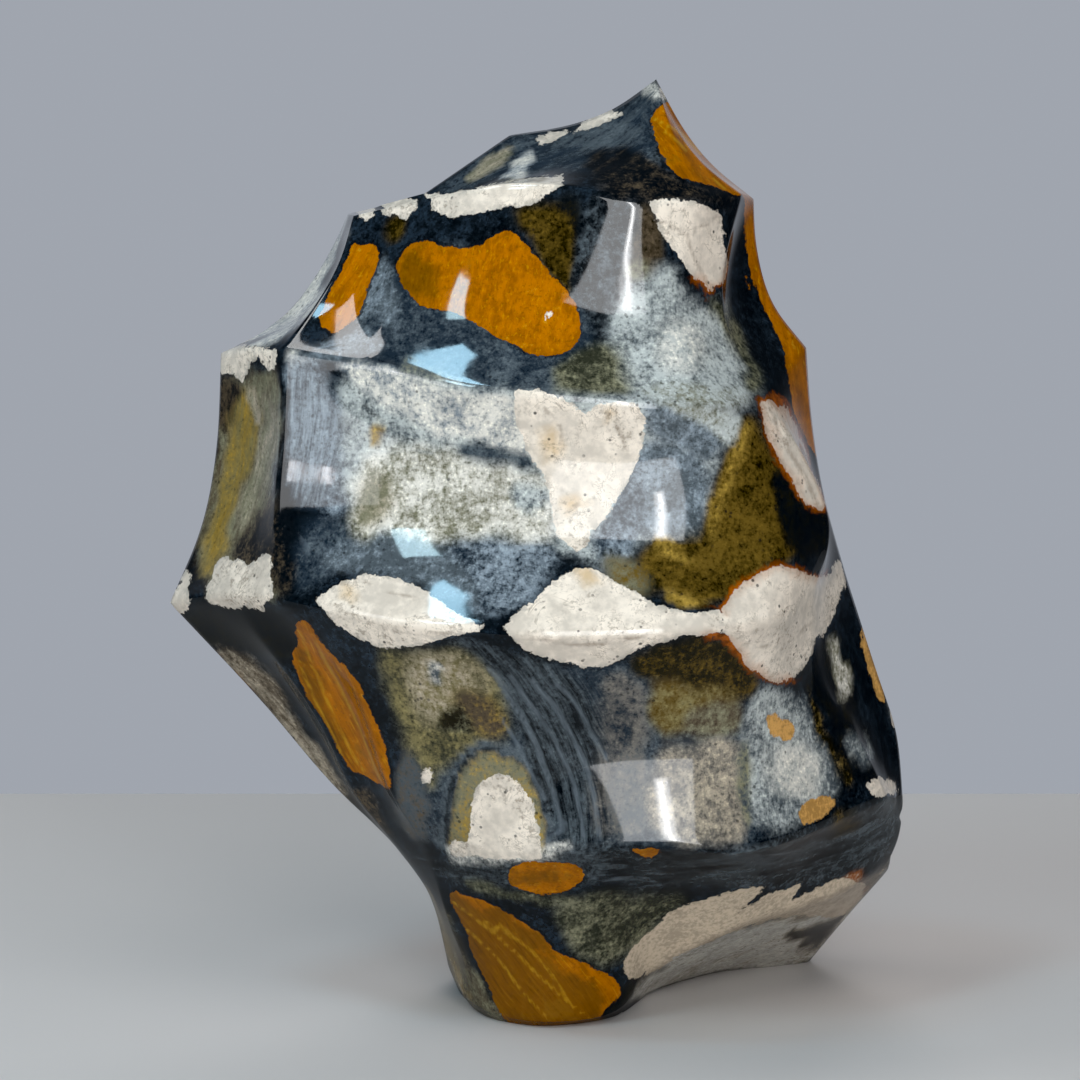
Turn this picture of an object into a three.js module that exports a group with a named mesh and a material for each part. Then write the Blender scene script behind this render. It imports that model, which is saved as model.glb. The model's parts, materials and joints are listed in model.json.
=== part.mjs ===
import * as THREE from "three";

// Overall size of the stone in millimetres: up, across the front, front to back.
const STONE_HEIGHT = 178;
const STONE_WIDTH = 141;
const STONE_DEPTH = 94;

// Each ridge ring passes 18 stations: 0 is the left tip, 1 to 8 cross the front,
// 9 is the right flank and 10 to 17 come back along the rear.
const RING_STATIONS = 18;

// Facets between two neighbouring stations of a ring.
const STATION_STEPS = 5;
const ROUND_STEPS = RING_STATIONS * STATION_STEPS;

// Sole: the flat cut the stone stands on, a blunt foot at the front left that runs
// diagonally to the rear right. Smooth all the way round.
const SOLE = {
  corners: [],
  points: [
    [-15.5, 15.5, 0],
    [-14, 8.5, 0],
    [-12, 0, 0],
    [-8, -8, 0],
    [1, -13, 0],
    [13.5, -6.5, 0],
    [23, 16.5, 0],
    [38.5, 34, 0],
    [49.5, 39.5, 0],
    [55, 43, 0],
    [54, 46, 0],
    [46.5, 46.5, 0],
    [34, 46, 0],
    [19, 44, 0],
    [4, 41, 0],
    [-8, 36, 0],
    [-13.5, 29, 0],
    [-16, 22, 0],
  ],
};

// Toe: round lip of the foot, which climbs to a low ridge under the right flank.
const TOE = {
  corners: [],
  points: [
    [-17.5, 14, 5],
    [-16, 4.5, 4.5],
    [-13.5, -3.5, 3],
    [-9, -10, 2],
    [1, -15.5, 1.5],
    [14.5, -11.5, 2.5],
    [21.5, -4, 8.5],
    [38.5, -8, 18.5],
    [57, 2, 22.5],
    [68, 15, 25.5],
    [67, 31, 18.5],
    [56.5, 43.5, 8.5],
    [38, 48, 5.5],
    [20, 46.5, 5],
    [3, 43, 4.5],
    [-10, 37, 4.5],
    [-16, 30, 5],
    [-18, 22, 5],
  ],
};

// Low ridge, above the foot.
const LOW_RIDGE = {
  corners: [0, 2, 8, 9, 12, 15],
  points: [
    [-28.5, 4, 32.5],
    [-27, -6, 33.5],
    [-20.5, -17, 34.5],
    [-12, -25, 34.5],
    [-0.5, -32, 36],
    [9.5, -36, 38.5],
    [23, -37, 39],
    [38, -34, 37.5],
    [66, -4, 42],
    [70.5, 10, 39],
    [66, 26, 37],
    [54, 40, 35],
    [36, 47, 36],
    [15, 46, 40],
    [-3, 42, 42],
    [-18, 35, 37],
    [-27, 24, 35],
    [-30, 12, 33.5],
  ],
};

// Waist ridge, the widest ring, with the sharp tip on the left.
const WAIST_RIDGE = {
  corners: [0, 2, 8, 9, 12, 15],
  points: [
    [-70, 0, 79],
    [-58, -15, 82],
    [-46, -28, 82.5],
    [-25, -40, 80.5],
    [-7, -45, 79],
    [11, -46, 79],
    [29, -43.5, 79.5],
    [42.5, -35, 80],
    [50.5, -19, 82.5],
    [58.5, 4, 84],
    [54, 24, 82],
    [37, 38, 77],
    [17, 47, 74],
    [-6, 45, 80],
    [-28, 42, 84],
    [-49, 33, 82],
    [-61, 21, 79],
    [-68, 9, 78],
  ],
};

// Shoulder ridge.
const SHOULDER_RIDGE = {
  corners: [0, 2, 8, 9, 12, 15],
  points: [
    [-60, 2, 126.5],
    [-54, -8, 128],
    [-47, -17, 128],
    [-28, -27, 125.5],
    [-12.5, -34, 122],
    [2.5, -36.5, 121],
    [18, -36.5, 119.5],
    [31.5, -33, 119],
    [41, -22, 119.5],
    [50.5, 1, 127.5],
    [44, 17, 126],
    [33, 28, 121],
    [17, 37, 117],
    [0, 36, 121],
    [-17, 36, 127],
    [-33, 30, 128],
    [-46, 21, 126],
    [-56, 11, 126],
  ],
};

// Crown ridge, round the top face.
const CROWN_RIDGE = {
  corners: [0, 2, 3, 8, 9, 12, 15],
  points: [
    [-36.5, 14, 152.5],
    [-36, 4, 152.5],
    [-34.5, -5, 152.5],
    [-19.5, -13.5, 156],
    [-7, -21, 158.5],
    [6, -24, 158],
    [18.5, -25, 155.5],
    [29, -21, 155.5],
    [37.5, -9, 156.5],
    [40.5, 3, 155.5],
    [37.5, 13, 153],
    [29, 20, 152],
    [18, 25, 153.5],
    [5, 25, 156],
    [-8, 25, 154],
    [-20, 26, 152],
    [-29, 25, 151],
    [-34.5, 20, 151.5],
  ],
};

// Roof ridge: an open line from the left end of the top face up to the peak at the right,
// given for stations 0 to 9. The rear stations run back along the same line.
const ROOF_RIDGE = {
  corners: [0, 3, 6, 9],
  points: [
    [-21.5, 3, 156.5],
    [-21.5, 3, 156.5],
    [-21.5, 3, 156.5],
    [-5.5, 6, 167.5],
    [6, 7, 169.5],
    [14, 6, 172.5],
    [22, 3, 178],
    [22, 3, 178],
    [22, 3, 178],
    [22, 3, 178],
  ],
};

// Hollows between two rings. Each upright ridge runs from its station on the lower ring to
// the same station on the upper one, through the points given; depth is how far the hollow
// that starts at this upright is ground in at its middle.
const FOOT_LIP = {
  rows: 3,
  uprights: [
    { station: 0, through: [], depth: 0 },
    { station: 9, through: [], depth: 0 },
  ],
};

const FOOT_HOLLOWS = {
  rows: 7,
  uprights: [
    { station: 0, through: [[-21.5, 9, 21.5]], depth: 1 },
    { station: 2, through: [[-14, -7, 11], [-16.5, -10, 18]], depth: 4 },
    { station: 9, through: [[70, 12, 32]], depth: 3 },
    { station: 12, through: [[34, 44, 21]], depth: 4 },
    { station: 15, through: [[-14, 33, 20]], depth: 2.5 },
  ],
};

const LOWER_HOLLOWS = {
  rows: 9,
  uprights: [
    { station: 0, through: [[-40, 3, 44], [-52.5, 1.5, 59.5]], depth: 2 },
    { station: 1, through: [[-35, -8, 43.5], [-39.5, -11.5, 55], [-47, -14.5, 68]], depth: 2.5 },
    { station: 2, through: [[-27.5, -22, 46.5], [-33.5, -26, 66]], depth: 7 },
    { station: 8, through: [[59, -8, 56], [51.5, -15, 67.5]], depth: 1.5 },
    { station: 9, through: [[69, 9, 53], [65.5, 7, 63]], depth: 4 },
    { station: 12, through: [[26, 40, 55]], depth: 7 },
    { station: 15, through: [[-32, 30, 60]], depth: 5 },
  ],
};

const MIDDLE_HOLLOWS = {
  rows: 9,
  uprights: [
    { station: 0, through: [[-64, 1, 93], [-61, 1.5, 108]], depth: 2.5 },
    { station: 2, through: [[-48.5, -20, 97], [-47.5, -17.5, 112]], depth: 4 },
    { station: 8, through: [[54, -17, 94.5], [49, -18.5, 108]], depth: 1.5 },
    { station: 9, through: [[54, 3, 100], [51.5, 1.5, 115]], depth: 4 },
    { station: 12, through: [[14, 37, 96]], depth: 6 },
    { station: 15, through: [[-40, 25, 106]], depth: 4.5 },
  ],
};

const TOP_HOLLOWS = {
  rows: 8,
  uprights: [
    { station: 0, through: [[-48.5, 5, 133], [-41, 9, 143]], depth: 2 },
    { station: 2, through: [[-40, -11, 138], [-36.5, -8, 145]], depth: 1.5 },
    { station: 3, through: [[-28.5, -18.5, 137]], depth: 3.5 },
    { station: 8, through: [[35.5, -19, 127], [33.5, -15, 140]], depth: 1.5 },
    { station: 9, through: [[44, 2, 136], [41, 3, 147]], depth: 3 },
    { station: 12, through: [[18, 27, 136]], depth: 4.5 },
    { station: 15, through: [[-28, 24, 139]], depth: 4 },
  ],
};

const CROWN_HOLLOWS = {
  rows: 7,
  uprights: [
    { station: 0, through: [], depth: 0.6 },
    { station: 3, through: [[-8.5, -13, 158], [-2, -7, 161.5], [-3, 2, 166]], depth: 2.5 },
    { station: 8, through: [[30, -8, 162.5], [24, -2, 171.5]], depth: 0.5 },
    { station: 9, through: [[32.5, 4, 162], [27, 4, 169]], depth: 2.5 },
    { station: 15, through: [[-8, 16, 160]], depth: 1.2 },
  ],
};

const vector = (point) => new THREE.Vector3(...point);

const curveThrough = (points, closed) =>
  new THREE.CatmullRomCurve3(points.map(vector), closed, "centripetal");

// Points of a ridge line between its corner stations, so it bends sharply only there.
function sampleArcs(points, corners, last) {
  const samples = [];
  for (let i = 0; i + 1 < corners.length; i += 1) {
    const from = corners[i];
    const to = corners[i + 1];
    const through = [];
    for (let station = from; station <= to; station += 1) {
      through.push(points[station % points.length]);
    }
    const arc = curveThrough(through, false);
    const steps = (to - from) * STATION_STEPS;
    for (let step = 0; step < steps; step += 1) {
      samples[(from * STATION_STEPS + step) % ROUND_STEPS] = arc.getPoint(step / steps);
    }
  }
  if (last) {
    samples.push(vector(points[points.length - 1]));
  }
  return samples;
}

function sampleRing(ring) {
  if (ring.corners.length === 0) {
    const loop = curveThrough(ring.points, true);
    return Array.from({ length: ROUND_STEPS }, (_, step) => loop.getPoint(step / ROUND_STEPS));
  }
  const corners = [...ring.corners, ring.corners[0] + RING_STATIONS];
  return sampleArcs(ring.points, corners, false);
}

function sampleRoof(ridge) {
  const front = sampleArcs(ridge.points, ridge.corners, true);
  return Array.from({ length: ROUND_STEPS }, (_, step) =>
    front[Math.min(step, ROUND_STEPS - step)].clone(),
  );
}

// Share of the hollow's full depth at a fraction of the way across it.
const cup = (fraction) => Math.sin(Math.PI * fraction);

// One hollow: a surface stretched between its four ridges and ground in at its middle.
function hollowSurface(bottom, top, left, right, depth) {
  const columns = bottom.length - 1;
  const rows = left.length - 1;
  const inward = new THREE.Vector3()
    .subVectors(top[0], bottom[columns])
    .cross(new THREE.Vector3().subVectors(top[columns], bottom[0]))
    .normalize();
  const surface = [];
  for (let row = 0; row <= rows; row += 1) {
    const v = row / rows;
    const line = [];
    for (let column = 0; column <= columns; column += 1) {
      const u = column / columns;
      const point = new THREE.Vector3()
        .addScaledVector(bottom[column], 1 - v)
        .addScaledVector(top[column], v)
        .addScaledVector(left[row], 1 - u)
        .addScaledVector(right[row], u)
        .addScaledVector(bottom[0], -(1 - u) * (1 - v))
        .addScaledVector(bottom[columns], -u * (1 - v))
        .addScaledVector(top[0], -(1 - u) * v)
        .addScaledVector(top[columns], -u * v);
      line.push(point.addScaledVector(inward, depth * cup(u) * cup(v)));
    }
    surface.push(line);
  }
  return surface;
}

// All hollows between two rings, as rows of points that run once round the stone.
function bandRows(lower, upper, band) {
  const rows = Array.from({ length: band.rows + 1 }, () => []);
  const ridges = band.uprights.map(({ station, through }) => {
    const step = station * STATION_STEPS;
    const ends = [lower[step].toArray(), ...through, upper[step].toArray()];
    return curveThrough(ends, false).getSpacedPoints(band.rows);
  });
  band.uprights.forEach(({ station, depth }, i) => {
    const next = (i + 1) % band.uprights.length;
    const end = band.uprights[next].station + (next === 0 ? RING_STATIONS : 0);
    const bottom = [];
    const top = [];
    for (let step = station * STATION_STEPS; step <= end * STATION_STEPS; step += 1) {
      bottom.push(lower[step % ROUND_STEPS]);
      top.push(upper[step % ROUND_STEPS]);
    }
    const surface = hollowSurface(bottom, top, ridges[i], ridges[next], depth);
    surface.forEach((line, row) => {
      line.forEach((point, column) => {
        rows[row][(station * STATION_STEPS + column) % ROUND_STEPS] = point;
      });
    });
  });
  return rows;
}

function stoneRows() {
  const rings = [
    sampleRing(SOLE),
    sampleRing(TOE),
    sampleRing(LOW_RIDGE),
    sampleRing(WAIST_RIDGE),
    sampleRing(SHOULDER_RIDGE),
    sampleRing(CROWN_RIDGE),
    sampleRoof(ROOF_RIDGE),
  ];
  const bands = [
    FOOT_LIP,
    FOOT_HOLLOWS,
    LOWER_HOLLOWS,
    MIDDLE_HOLLOWS,
    TOP_HOLLOWS,
    CROWN_HOLLOWS,
  ];
  const rows = [rings[0]];
  bands.forEach((band, i) => {
    rows.push(...bandRows(rings[i], rings[i + 1], band).slice(1));
  });
  return rows;
}

// Gives every distinct place one vertex, so the stone closes along its roof ridge.
function makeVertexPool() {
  const places = new Map();
  const coordinates = [];
  const SAME_PLACE = 1e-3;
  return {
    coordinates,
    indexOf(point) {
      const key = point.toArray().map((value) => Math.round(value / SAME_PLACE)).join(" ");
      if (!places.has(key)) {
        places.set(key, coordinates.length / 3);
        coordinates.push(...point.toArray());
      }
      return places.get(key);
    },
  };
}

function stoneGeometry() {
  const rows = stoneRows();
  const pool = makeVertexPool();
  const faces = [];
  const addFace = (a, b, c) => {
    if (a !== b && b !== c && c !== a) {
      faces.push(a, b, c);
    }
  };
  for (let row = 0; row + 1 < rows.length; row += 1) {
    for (let step = 0; step < ROUND_STEPS; step += 1) {
      const across = (step + 1) % ROUND_STEPS;
      const corner = pool.indexOf(rows[row][step]);
      const beside = pool.indexOf(rows[row][across]);
      const over = pool.indexOf(rows[row + 1][step]);
      const opposite = pool.indexOf(rows[row + 1][across]);
      const rising = rows[row][step].distanceTo(rows[row + 1][across]);
      const falling = rows[row][across].distanceTo(rows[row + 1][step]);
      if (rising < falling) {
        addFace(corner, beside, opposite);
        addFace(corner, opposite, over);
      } else {
        addFace(corner, beside, over);
        addFace(beside, opposite, over);
      }
    }
  }
  const sole = rows[0];
  const outline = sole.map((point) => new THREE.Vector2(point.x, point.y));
  THREE.ShapeUtils.triangulateShape(outline, []).forEach(([a, b, c]) => {
    addFace(pool.indexOf(sole[a]), pool.indexOf(sole[c]), pool.indexOf(sole[b]));
  });
  const geometry = new THREE.BufferGeometry();
  geometry.setAttribute("position", new THREE.Float32BufferAttribute(pool.coordinates, 3));
  geometry.setIndex(faces);
  return geometry;
}

// Brings the stone to its overall size, centred over the origin with its sole on z = 0.
function fitToSize(geometry) {
  geometry.computeBoundingBox();
  const centre = geometry.boundingBox.getCenter(new THREE.Vector3());
  const extent = geometry.boundingBox.getSize(new THREE.Vector3());
  geometry.translate(-centre.x, -centre.y, -geometry.boundingBox.min.z);
  geometry.scale(STONE_WIDTH / extent.x, STONE_DEPTH / extent.y, STONE_HEIGHT / extent.z);
  geometry.computeVertexNormals();
  return geometry;
}

const polishedJasper = new THREE.MeshStandardMaterial({
  name: "polished_jasper",
  color: 0x55605a,
  roughness: 0.18,
  metalness: 0,
});

const stone = new THREE.Mesh(fitToSize(stoneGeometry()), polishedJasper);
stone.name = "stone";

const object = new THREE.Group();
object.name = "jasper_freeform";
object.add(stone);

export default object;
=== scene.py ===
import json
import math

import bpy
import numpy as np
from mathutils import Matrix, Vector, noise

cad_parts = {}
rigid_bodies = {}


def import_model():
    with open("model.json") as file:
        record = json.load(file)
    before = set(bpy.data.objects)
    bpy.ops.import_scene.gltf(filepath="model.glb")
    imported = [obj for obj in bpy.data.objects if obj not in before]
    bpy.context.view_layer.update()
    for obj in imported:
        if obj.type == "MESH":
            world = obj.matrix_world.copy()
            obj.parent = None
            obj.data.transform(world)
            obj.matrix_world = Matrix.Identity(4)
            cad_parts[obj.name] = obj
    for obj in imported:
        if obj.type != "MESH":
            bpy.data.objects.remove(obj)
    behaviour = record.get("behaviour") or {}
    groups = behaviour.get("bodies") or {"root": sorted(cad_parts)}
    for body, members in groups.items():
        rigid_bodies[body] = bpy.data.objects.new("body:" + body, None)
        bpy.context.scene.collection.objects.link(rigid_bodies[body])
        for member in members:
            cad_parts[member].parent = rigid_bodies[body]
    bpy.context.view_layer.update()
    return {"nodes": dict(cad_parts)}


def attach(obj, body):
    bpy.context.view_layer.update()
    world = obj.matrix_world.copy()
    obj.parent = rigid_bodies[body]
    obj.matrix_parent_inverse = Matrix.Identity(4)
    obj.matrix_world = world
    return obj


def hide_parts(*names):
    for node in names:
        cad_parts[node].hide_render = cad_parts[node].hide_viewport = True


bl_info = {
    "name": "Polished jasper freeform",
    "version": (1, 0, 0),
    "blender": (4, 5, 0),
    "location": "View3D > Sidebar > Jasper",
    "description": "Builds a polished ocean jasper freeform on a pale table",
    "category": "Object",
}

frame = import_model()

# The camera: a long lens, a little above the table, aimed at the middle of the stone.
PICTURE_SIDE = 1080
PICTURE_MIDDLE = PICTURE_SIDE / 2
FOCAL_PIXELS = 3686.7
SENSOR_WIDTH = 36.0
CAMERA_DISTANCE = 0.700
CAMERA_ELEVATION = math.radians(6)
AIM = Vector((0.0, -0.001, 0.091))
PIXELS_PER_MM = FOCAL_PIXELS / (CAMERA_DISTANCE * 1000)

# How the markings lie on the stone, in millimetres: the largest distance that is stored, how
# far behind what its outline shows a patch and a ground area still reach, and how far the
# streaks of an orange patch are carried past its edge.
FAR = 12.0
PATCH_DEPTH = 6.0
AREA_DEPTH = 3.0
STREAK_MARGIN = 2.0

# Swirls that bend the drawn outlines, as pairs of waves per metre and reach in metres, and
# their seed, without which they differ from run to run.
DRIFT_SEED = 3
CRISP_DRIFT = ((160, 0.0005),)
LOOSE_DRIFT = ((60, 0.0024), (260, 0.0011))
WILD_DRIFT = ((38, 0.0075), (110, 0.0032), (300, 0.0012))

# The markings are drawn as a camera sees them from each side of the stone, in pixels of a
# picture 1080 pixels square with x to the right and y down.
SIDES = {
    "front": 0.0,
    "right": math.radians(90),
    "back": math.radians(180),
    "left": math.radians(270),
}

# Cream agate patches with crisp edges.
CREAM = {
    "front": {
        "crown edge": [
            (426, 194), (450, 192), (476, 187), (502, 182), (535, 178), (562, 176), (566, 181),
            (554, 189), (537, 200), (520, 206), (502, 208), (476, 213), (449, 217), (432, 211),
        ],
        "crown edge left": [
            (381, 204), (399, 199), (417, 199), (420, 209), (409, 219), (396, 214), (386, 216),
        ],
        "crown edge far left": [(357, 210), (372, 206), (377, 213), (368, 219), (358, 216)],
        "crown sliver": [(536, 139), (548, 133), (568, 130), (566, 134), (550, 140), (540, 143)],
        "crown sliver right": [(572, 133), (588, 120), (610, 111), (621, 113), (608, 122), (590, 131)],
        "triangle": [
            (647, 202), (664, 199), (685, 199), (705, 205), (723, 215), (726, 246), (729, 269),
            (720, 284), (708, 294), (697, 279), (678, 256), (662, 233),
        ],
        "left cap": [
            (217, 352), (232, 346), (255, 344), (275, 349), (277, 361), (270, 374), (263, 368),
            (256, 358), (250, 364), (244, 386), (234, 374), (222, 372), (216, 366),
        ],
        "bright": [
            (513, 391), (535, 390), (556, 394), (570, 402), (584, 412), (596, 400), (618, 401),
            (640, 404), (647, 420), (642, 450), (634, 466), (624, 487), (615, 504), (604, 520),
            (591, 531), (585, 548), (579, 551), (567, 543), (556, 530), (552, 505), (545, 472),
            (530, 456), (520, 435), (514, 412),
        ],
        "waist lens": [
            (314, 600), (335, 584), (356, 574), (383, 573), (406, 581), (428, 593), (455, 610),
            (484, 628), (479, 633), (450, 638), (418, 645), (383, 647), (361, 642), (345, 631),
            (330, 616),
        ],
        "waist middle lens": [
            (506, 628), (518, 612), (530, 601), (554, 580), (579, 568), (597, 570), (613, 580),
            (640, 593), (656, 607), (681, 611), (705, 612), (724, 609), (722, 634), (685, 634),
            (660, 642), (640, 650), (624, 656), (603, 666), (579, 667), (554, 660), (526, 650),
        ],
        "waist right lens": [
            (722, 608), (733, 592), (743, 582), (763, 570), (780, 566), (796, 570), (814, 577),
            (832, 575), (837, 560), (844, 566), (847, 580), (843, 592), (835, 615), (816, 642),
            (808, 662), (792, 678), (778, 683), (763, 678), (751, 670), (741, 654), (731, 640),
            (720, 630),
        ],
        "right ellipse": [
            (761, 399), (763, 418), (769, 437), (778, 456), (788, 474), (797, 490), (808, 504),
            (822, 510), (826, 503), (820, 486), (808, 458), (796, 427), (785, 409), (773, 400),
        ],
        "left tip": [
            (165, 622), (168, 598), (173, 590), (180, 583), (186, 575), (189, 577), (187, 586),
            (184, 592), (189, 592), (192, 600), (189, 609), (183, 611), (178, 616), (173, 622),
        ],
        "waist left": [
            (204, 597), (208, 584), (213, 573), (220, 562), (227, 557), (230, 563), (236, 558),
            (243, 560), (248, 565), (256, 559), (268, 551), (272, 556), (271, 566), (268, 575),
            (272, 581), (270, 588), (278, 597), (266, 603), (262, 612), (254, 609), (246, 606),
            (233, 607), (218, 607), (209, 602),
        ],
        "orb core": [
            (465, 846), (470, 826), (472, 805), (476, 789), (484, 779), (495, 774), (508, 775),
            (519, 782), (528, 795), (535, 812), (539, 828), (543, 846), (543, 857), (505, 860),
            (472, 854),
        ],
        "orb foot left": [(448, 848), (456, 840), (468, 844), (474, 856), (456, 858)],
        "pebble": [
            (866, 787), (872, 779), (882, 777), (892, 781), (897, 789), (892, 797), (880, 796),
            (870, 794),
        ],
        "orange fleck": [(538, 322), (543, 314), (550, 310), (553, 314), (549, 320), (543, 326)],
        "dot": [(421, 772), (430, 767), (436, 775), (430, 784), (422, 781)],
    },
    "back": {
        "waist": [
            (300, 640), (360, 604), (430, 612), (470, 640), (520, 622), (566, 622), (530, 655),
            (450, 690), (380, 690), (320, 672),
        ],
        "shoulder": [
            (560, 356), (620, 332), (690, 336), (722, 352), (704, 376), (640, 384), (584, 380),
        ],
        "heart": [
            (500, 480), (536, 452), (560, 466), (602, 452), (642, 482), (630, 530), (592, 568),
            (552, 578), (520, 550),
        ],
        "crown": [(440, 210), (500, 192), (560, 197), (604, 212), (560, 228), (500, 224), (452, 226)],
        "low": [(430, 850), (470, 830), (530, 826), (582, 836), (570, 872), (520, 892), (460, 886)],
        "small": [(330, 384), (348, 372), (366, 384), (358, 404), (338, 402)],
        "side tip": [(812, 598), (850, 588), (900, 598), (906, 612), (862, 618), (822, 614)],
        "foot": [(246, 962), (296, 940), (330, 960), (318, 1002), (268, 1008)],
        "low left": [(196, 770), (236, 752), (258, 786), (244, 830), (206, 826)],
    },
    "right": {
        "ridge": [(580, 560), (606, 540), (632, 580), (642, 640), (622, 684), (600, 650), (586, 610)],
        "low": [(600, 762), (640, 748), (662, 800), (640, 850), (604, 838)],
        "top": [(580, 222), (610, 214), (648, 226), (626, 262), (592, 258)],
    },
    "left": {
        "waist": [(360, 612), (430, 600), (512, 622), (544, 650), (480, 672), (400, 660)],
        "shoulder": [(440, 362), (520, 350), (566, 362), (522, 388), (452, 386)],
        "low": [(400, 802), (450, 780), (494, 800), (480, 842), (420, 846)],
    },
}

# Tan and honey patches with crisp edges.
TAN = {
    "front": {
        "low right": [
            (622, 966), (630, 950), (645, 934), (667, 915), (692, 902), (722, 892), (747, 886),
            (767, 886), (752, 901), (738, 914), (752, 906), (768, 894), (786, 887), (804, 878),
            (802, 887), (792, 900), (806, 893), (822, 884), (845, 877), (866, 884), (862, 900),
            (852, 912), (835, 919), (810, 915), (777, 917), (743, 929), (708, 941), (682, 955),
            (660, 967), (640, 978), (628, 978),
        ],
    },
}

HONEY = {
    "front": {
        "flank strip": [
            (862, 622), (870, 636), (880, 668), (886, 700), (880, 700), (868, 672), (861, 648),
        ],
        "spot": [
            (766, 716), (773, 713), (780, 722), (792, 722), (796, 732), (788, 741), (774, 738),
            (766, 730),
        ],
        "low spot": [
            (797, 820), (804, 805), (816, 797), (833, 796), (834, 806), (822, 817), (806, 825),
        ],
    },
    "back": {
        "spot": [(640, 420), (650, 408), (664, 416), (660, 432), (646, 436)],
        "low spot": [(480, 770), (500, 758), (520, 768), (512, 788), (490, 790)],
    },
}

# Orange jasper patches: the way their streaks run, in degrees up from the right, how short the
# streaks are, and the outline.
ORANGE = {
    "front": {
        "crown right": (-55, 1.2, [
            (671, 97), (660, 108), (652, 117), (655, 136), (661, 159), (679, 175), (699, 183),
            (727, 191), (754, 201), (768, 196), (748, 166), (716, 130), (690, 90),
        ]),
        "right flank": (-80, 1.5, [
            (743, 190), (744, 215), (745, 237), (752, 279), (766, 313), (781, 344), (789, 370),
            (792, 409), (800, 428), (813, 458), (840, 470), (845, 380), (826, 330), (800, 270),
            (780, 190),
        ]),
        "top": (78, 4.0, [
            (399, 256), (409, 244), (432, 241), (450, 249), (480, 246), (486, 240), (494, 234),
            (514, 231), (525, 241), (537, 256), (550, 274), (561, 283), (571, 294), (580, 315),
            (579, 336), (572, 347), (562, 352), (543, 356), (525, 353), (509, 341), (494, 332),
            (476, 324), (459, 311), (433, 308), (416, 303), (404, 287), (397, 270),
        ]),
        "top left": (62, 1.4, [
            (347, 257), (352, 240), (359, 246), (371, 243), (378, 250), (378, 264), (369, 282),
            (364, 302), (361, 318), (341, 327), (334, 335), (318, 326), (328, 296), (338, 279),
        ]),
        "lower left": (-62, 0.8, [
            (295, 628), (299, 620), (306, 621), (315, 634), (333, 654), (352, 673), (364, 697),
            (378, 728), (389, 754), (393, 781), (389, 790), (376, 783), (360, 775), (347, 768),
            (338, 746), (323, 720), (307, 693), (293, 662), (292, 650), (301, 646),
        ]),
        "low lens": (-8, 4.0, [
            (506, 873), (515, 863), (544, 861), (574, 866), (587, 872), (580, 884), (564, 892),
            (544, 895), (523, 890), (511, 882),
        ]),
        "low small": (0, 3.0, [
            (628, 849), (640, 846), (654, 847), (660, 851), (654, 857), (640, 857),
        ]),
        "foot": (-52, 0.7, [
            (446, 893), (455, 890), (470, 895), (495, 907), (519, 920), (540, 933), (554, 949),
            (580, 963), (605, 973), (625, 990), (607, 1008), (592, 1034), (520, 1036),
            (498, 1010), (482, 975), (462, 925),
        ]),
    },
    "back": {
        "top": (70, 1.5, [
            (470, 262), (520, 240), (590, 250), (642, 275), (630, 318), (570, 334), (510, 328),
            (472, 306),
        ]),
        "left": (95, 1.5, [
            (335, 250), (370, 240), (400, 270), (412, 330), (380, 370), (345, 340), (330, 290),
        ]),
        "middle": (80, 1.5, [
            (660, 440), (700, 404), (730, 430), (746, 500), (730, 560), (690, 560), (664, 500),
        ]),
        "low": (-60, 1.5, [
            (270, 700), (320, 690), (370, 730), (360, 800), (310, 840), (262, 800), (250, 740),
        ]),
        "low right": (50, 1.5, [
            (600, 680), (660, 650), (730, 650), (740, 690), (690, 730), (630, 740), (602, 720),
        ]),
        "foot": (60, 1.5, [
            (400, 930), (460, 905), (540, 915), (580, 950), (570, 1010), (500, 1035), (420, 1030),
            (390, 980),
        ]),
    },
    "right": {
        "middle": (90, 1.5, [(590, 400), (640, 380), (682, 420), (690, 500), (650, 540), (602, 500)]),
        "low": (85, 1.5, [(640, 690), (676, 680), (702, 740), (700, 800), (670, 820), (645, 770)]),
    },
    "left": {
        "middle": (85, 1.5, [(420, 440), (470, 420), (512, 450), (500, 540), (450, 560), (420, 510)]),
        "low": (60, 1.5, [(430, 700), (490, 690), (512, 740), (480, 780), (435, 760)]),
        "foot": (80, 1.5, [(400, 920), (450, 915), (472, 960), (440, 1000), (400, 980)]),
    },
}

# The ground where no area is drawn: the dark colour, the light colour and its share.
BARE_GROUND = ("black", "ink", 0.35)

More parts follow.
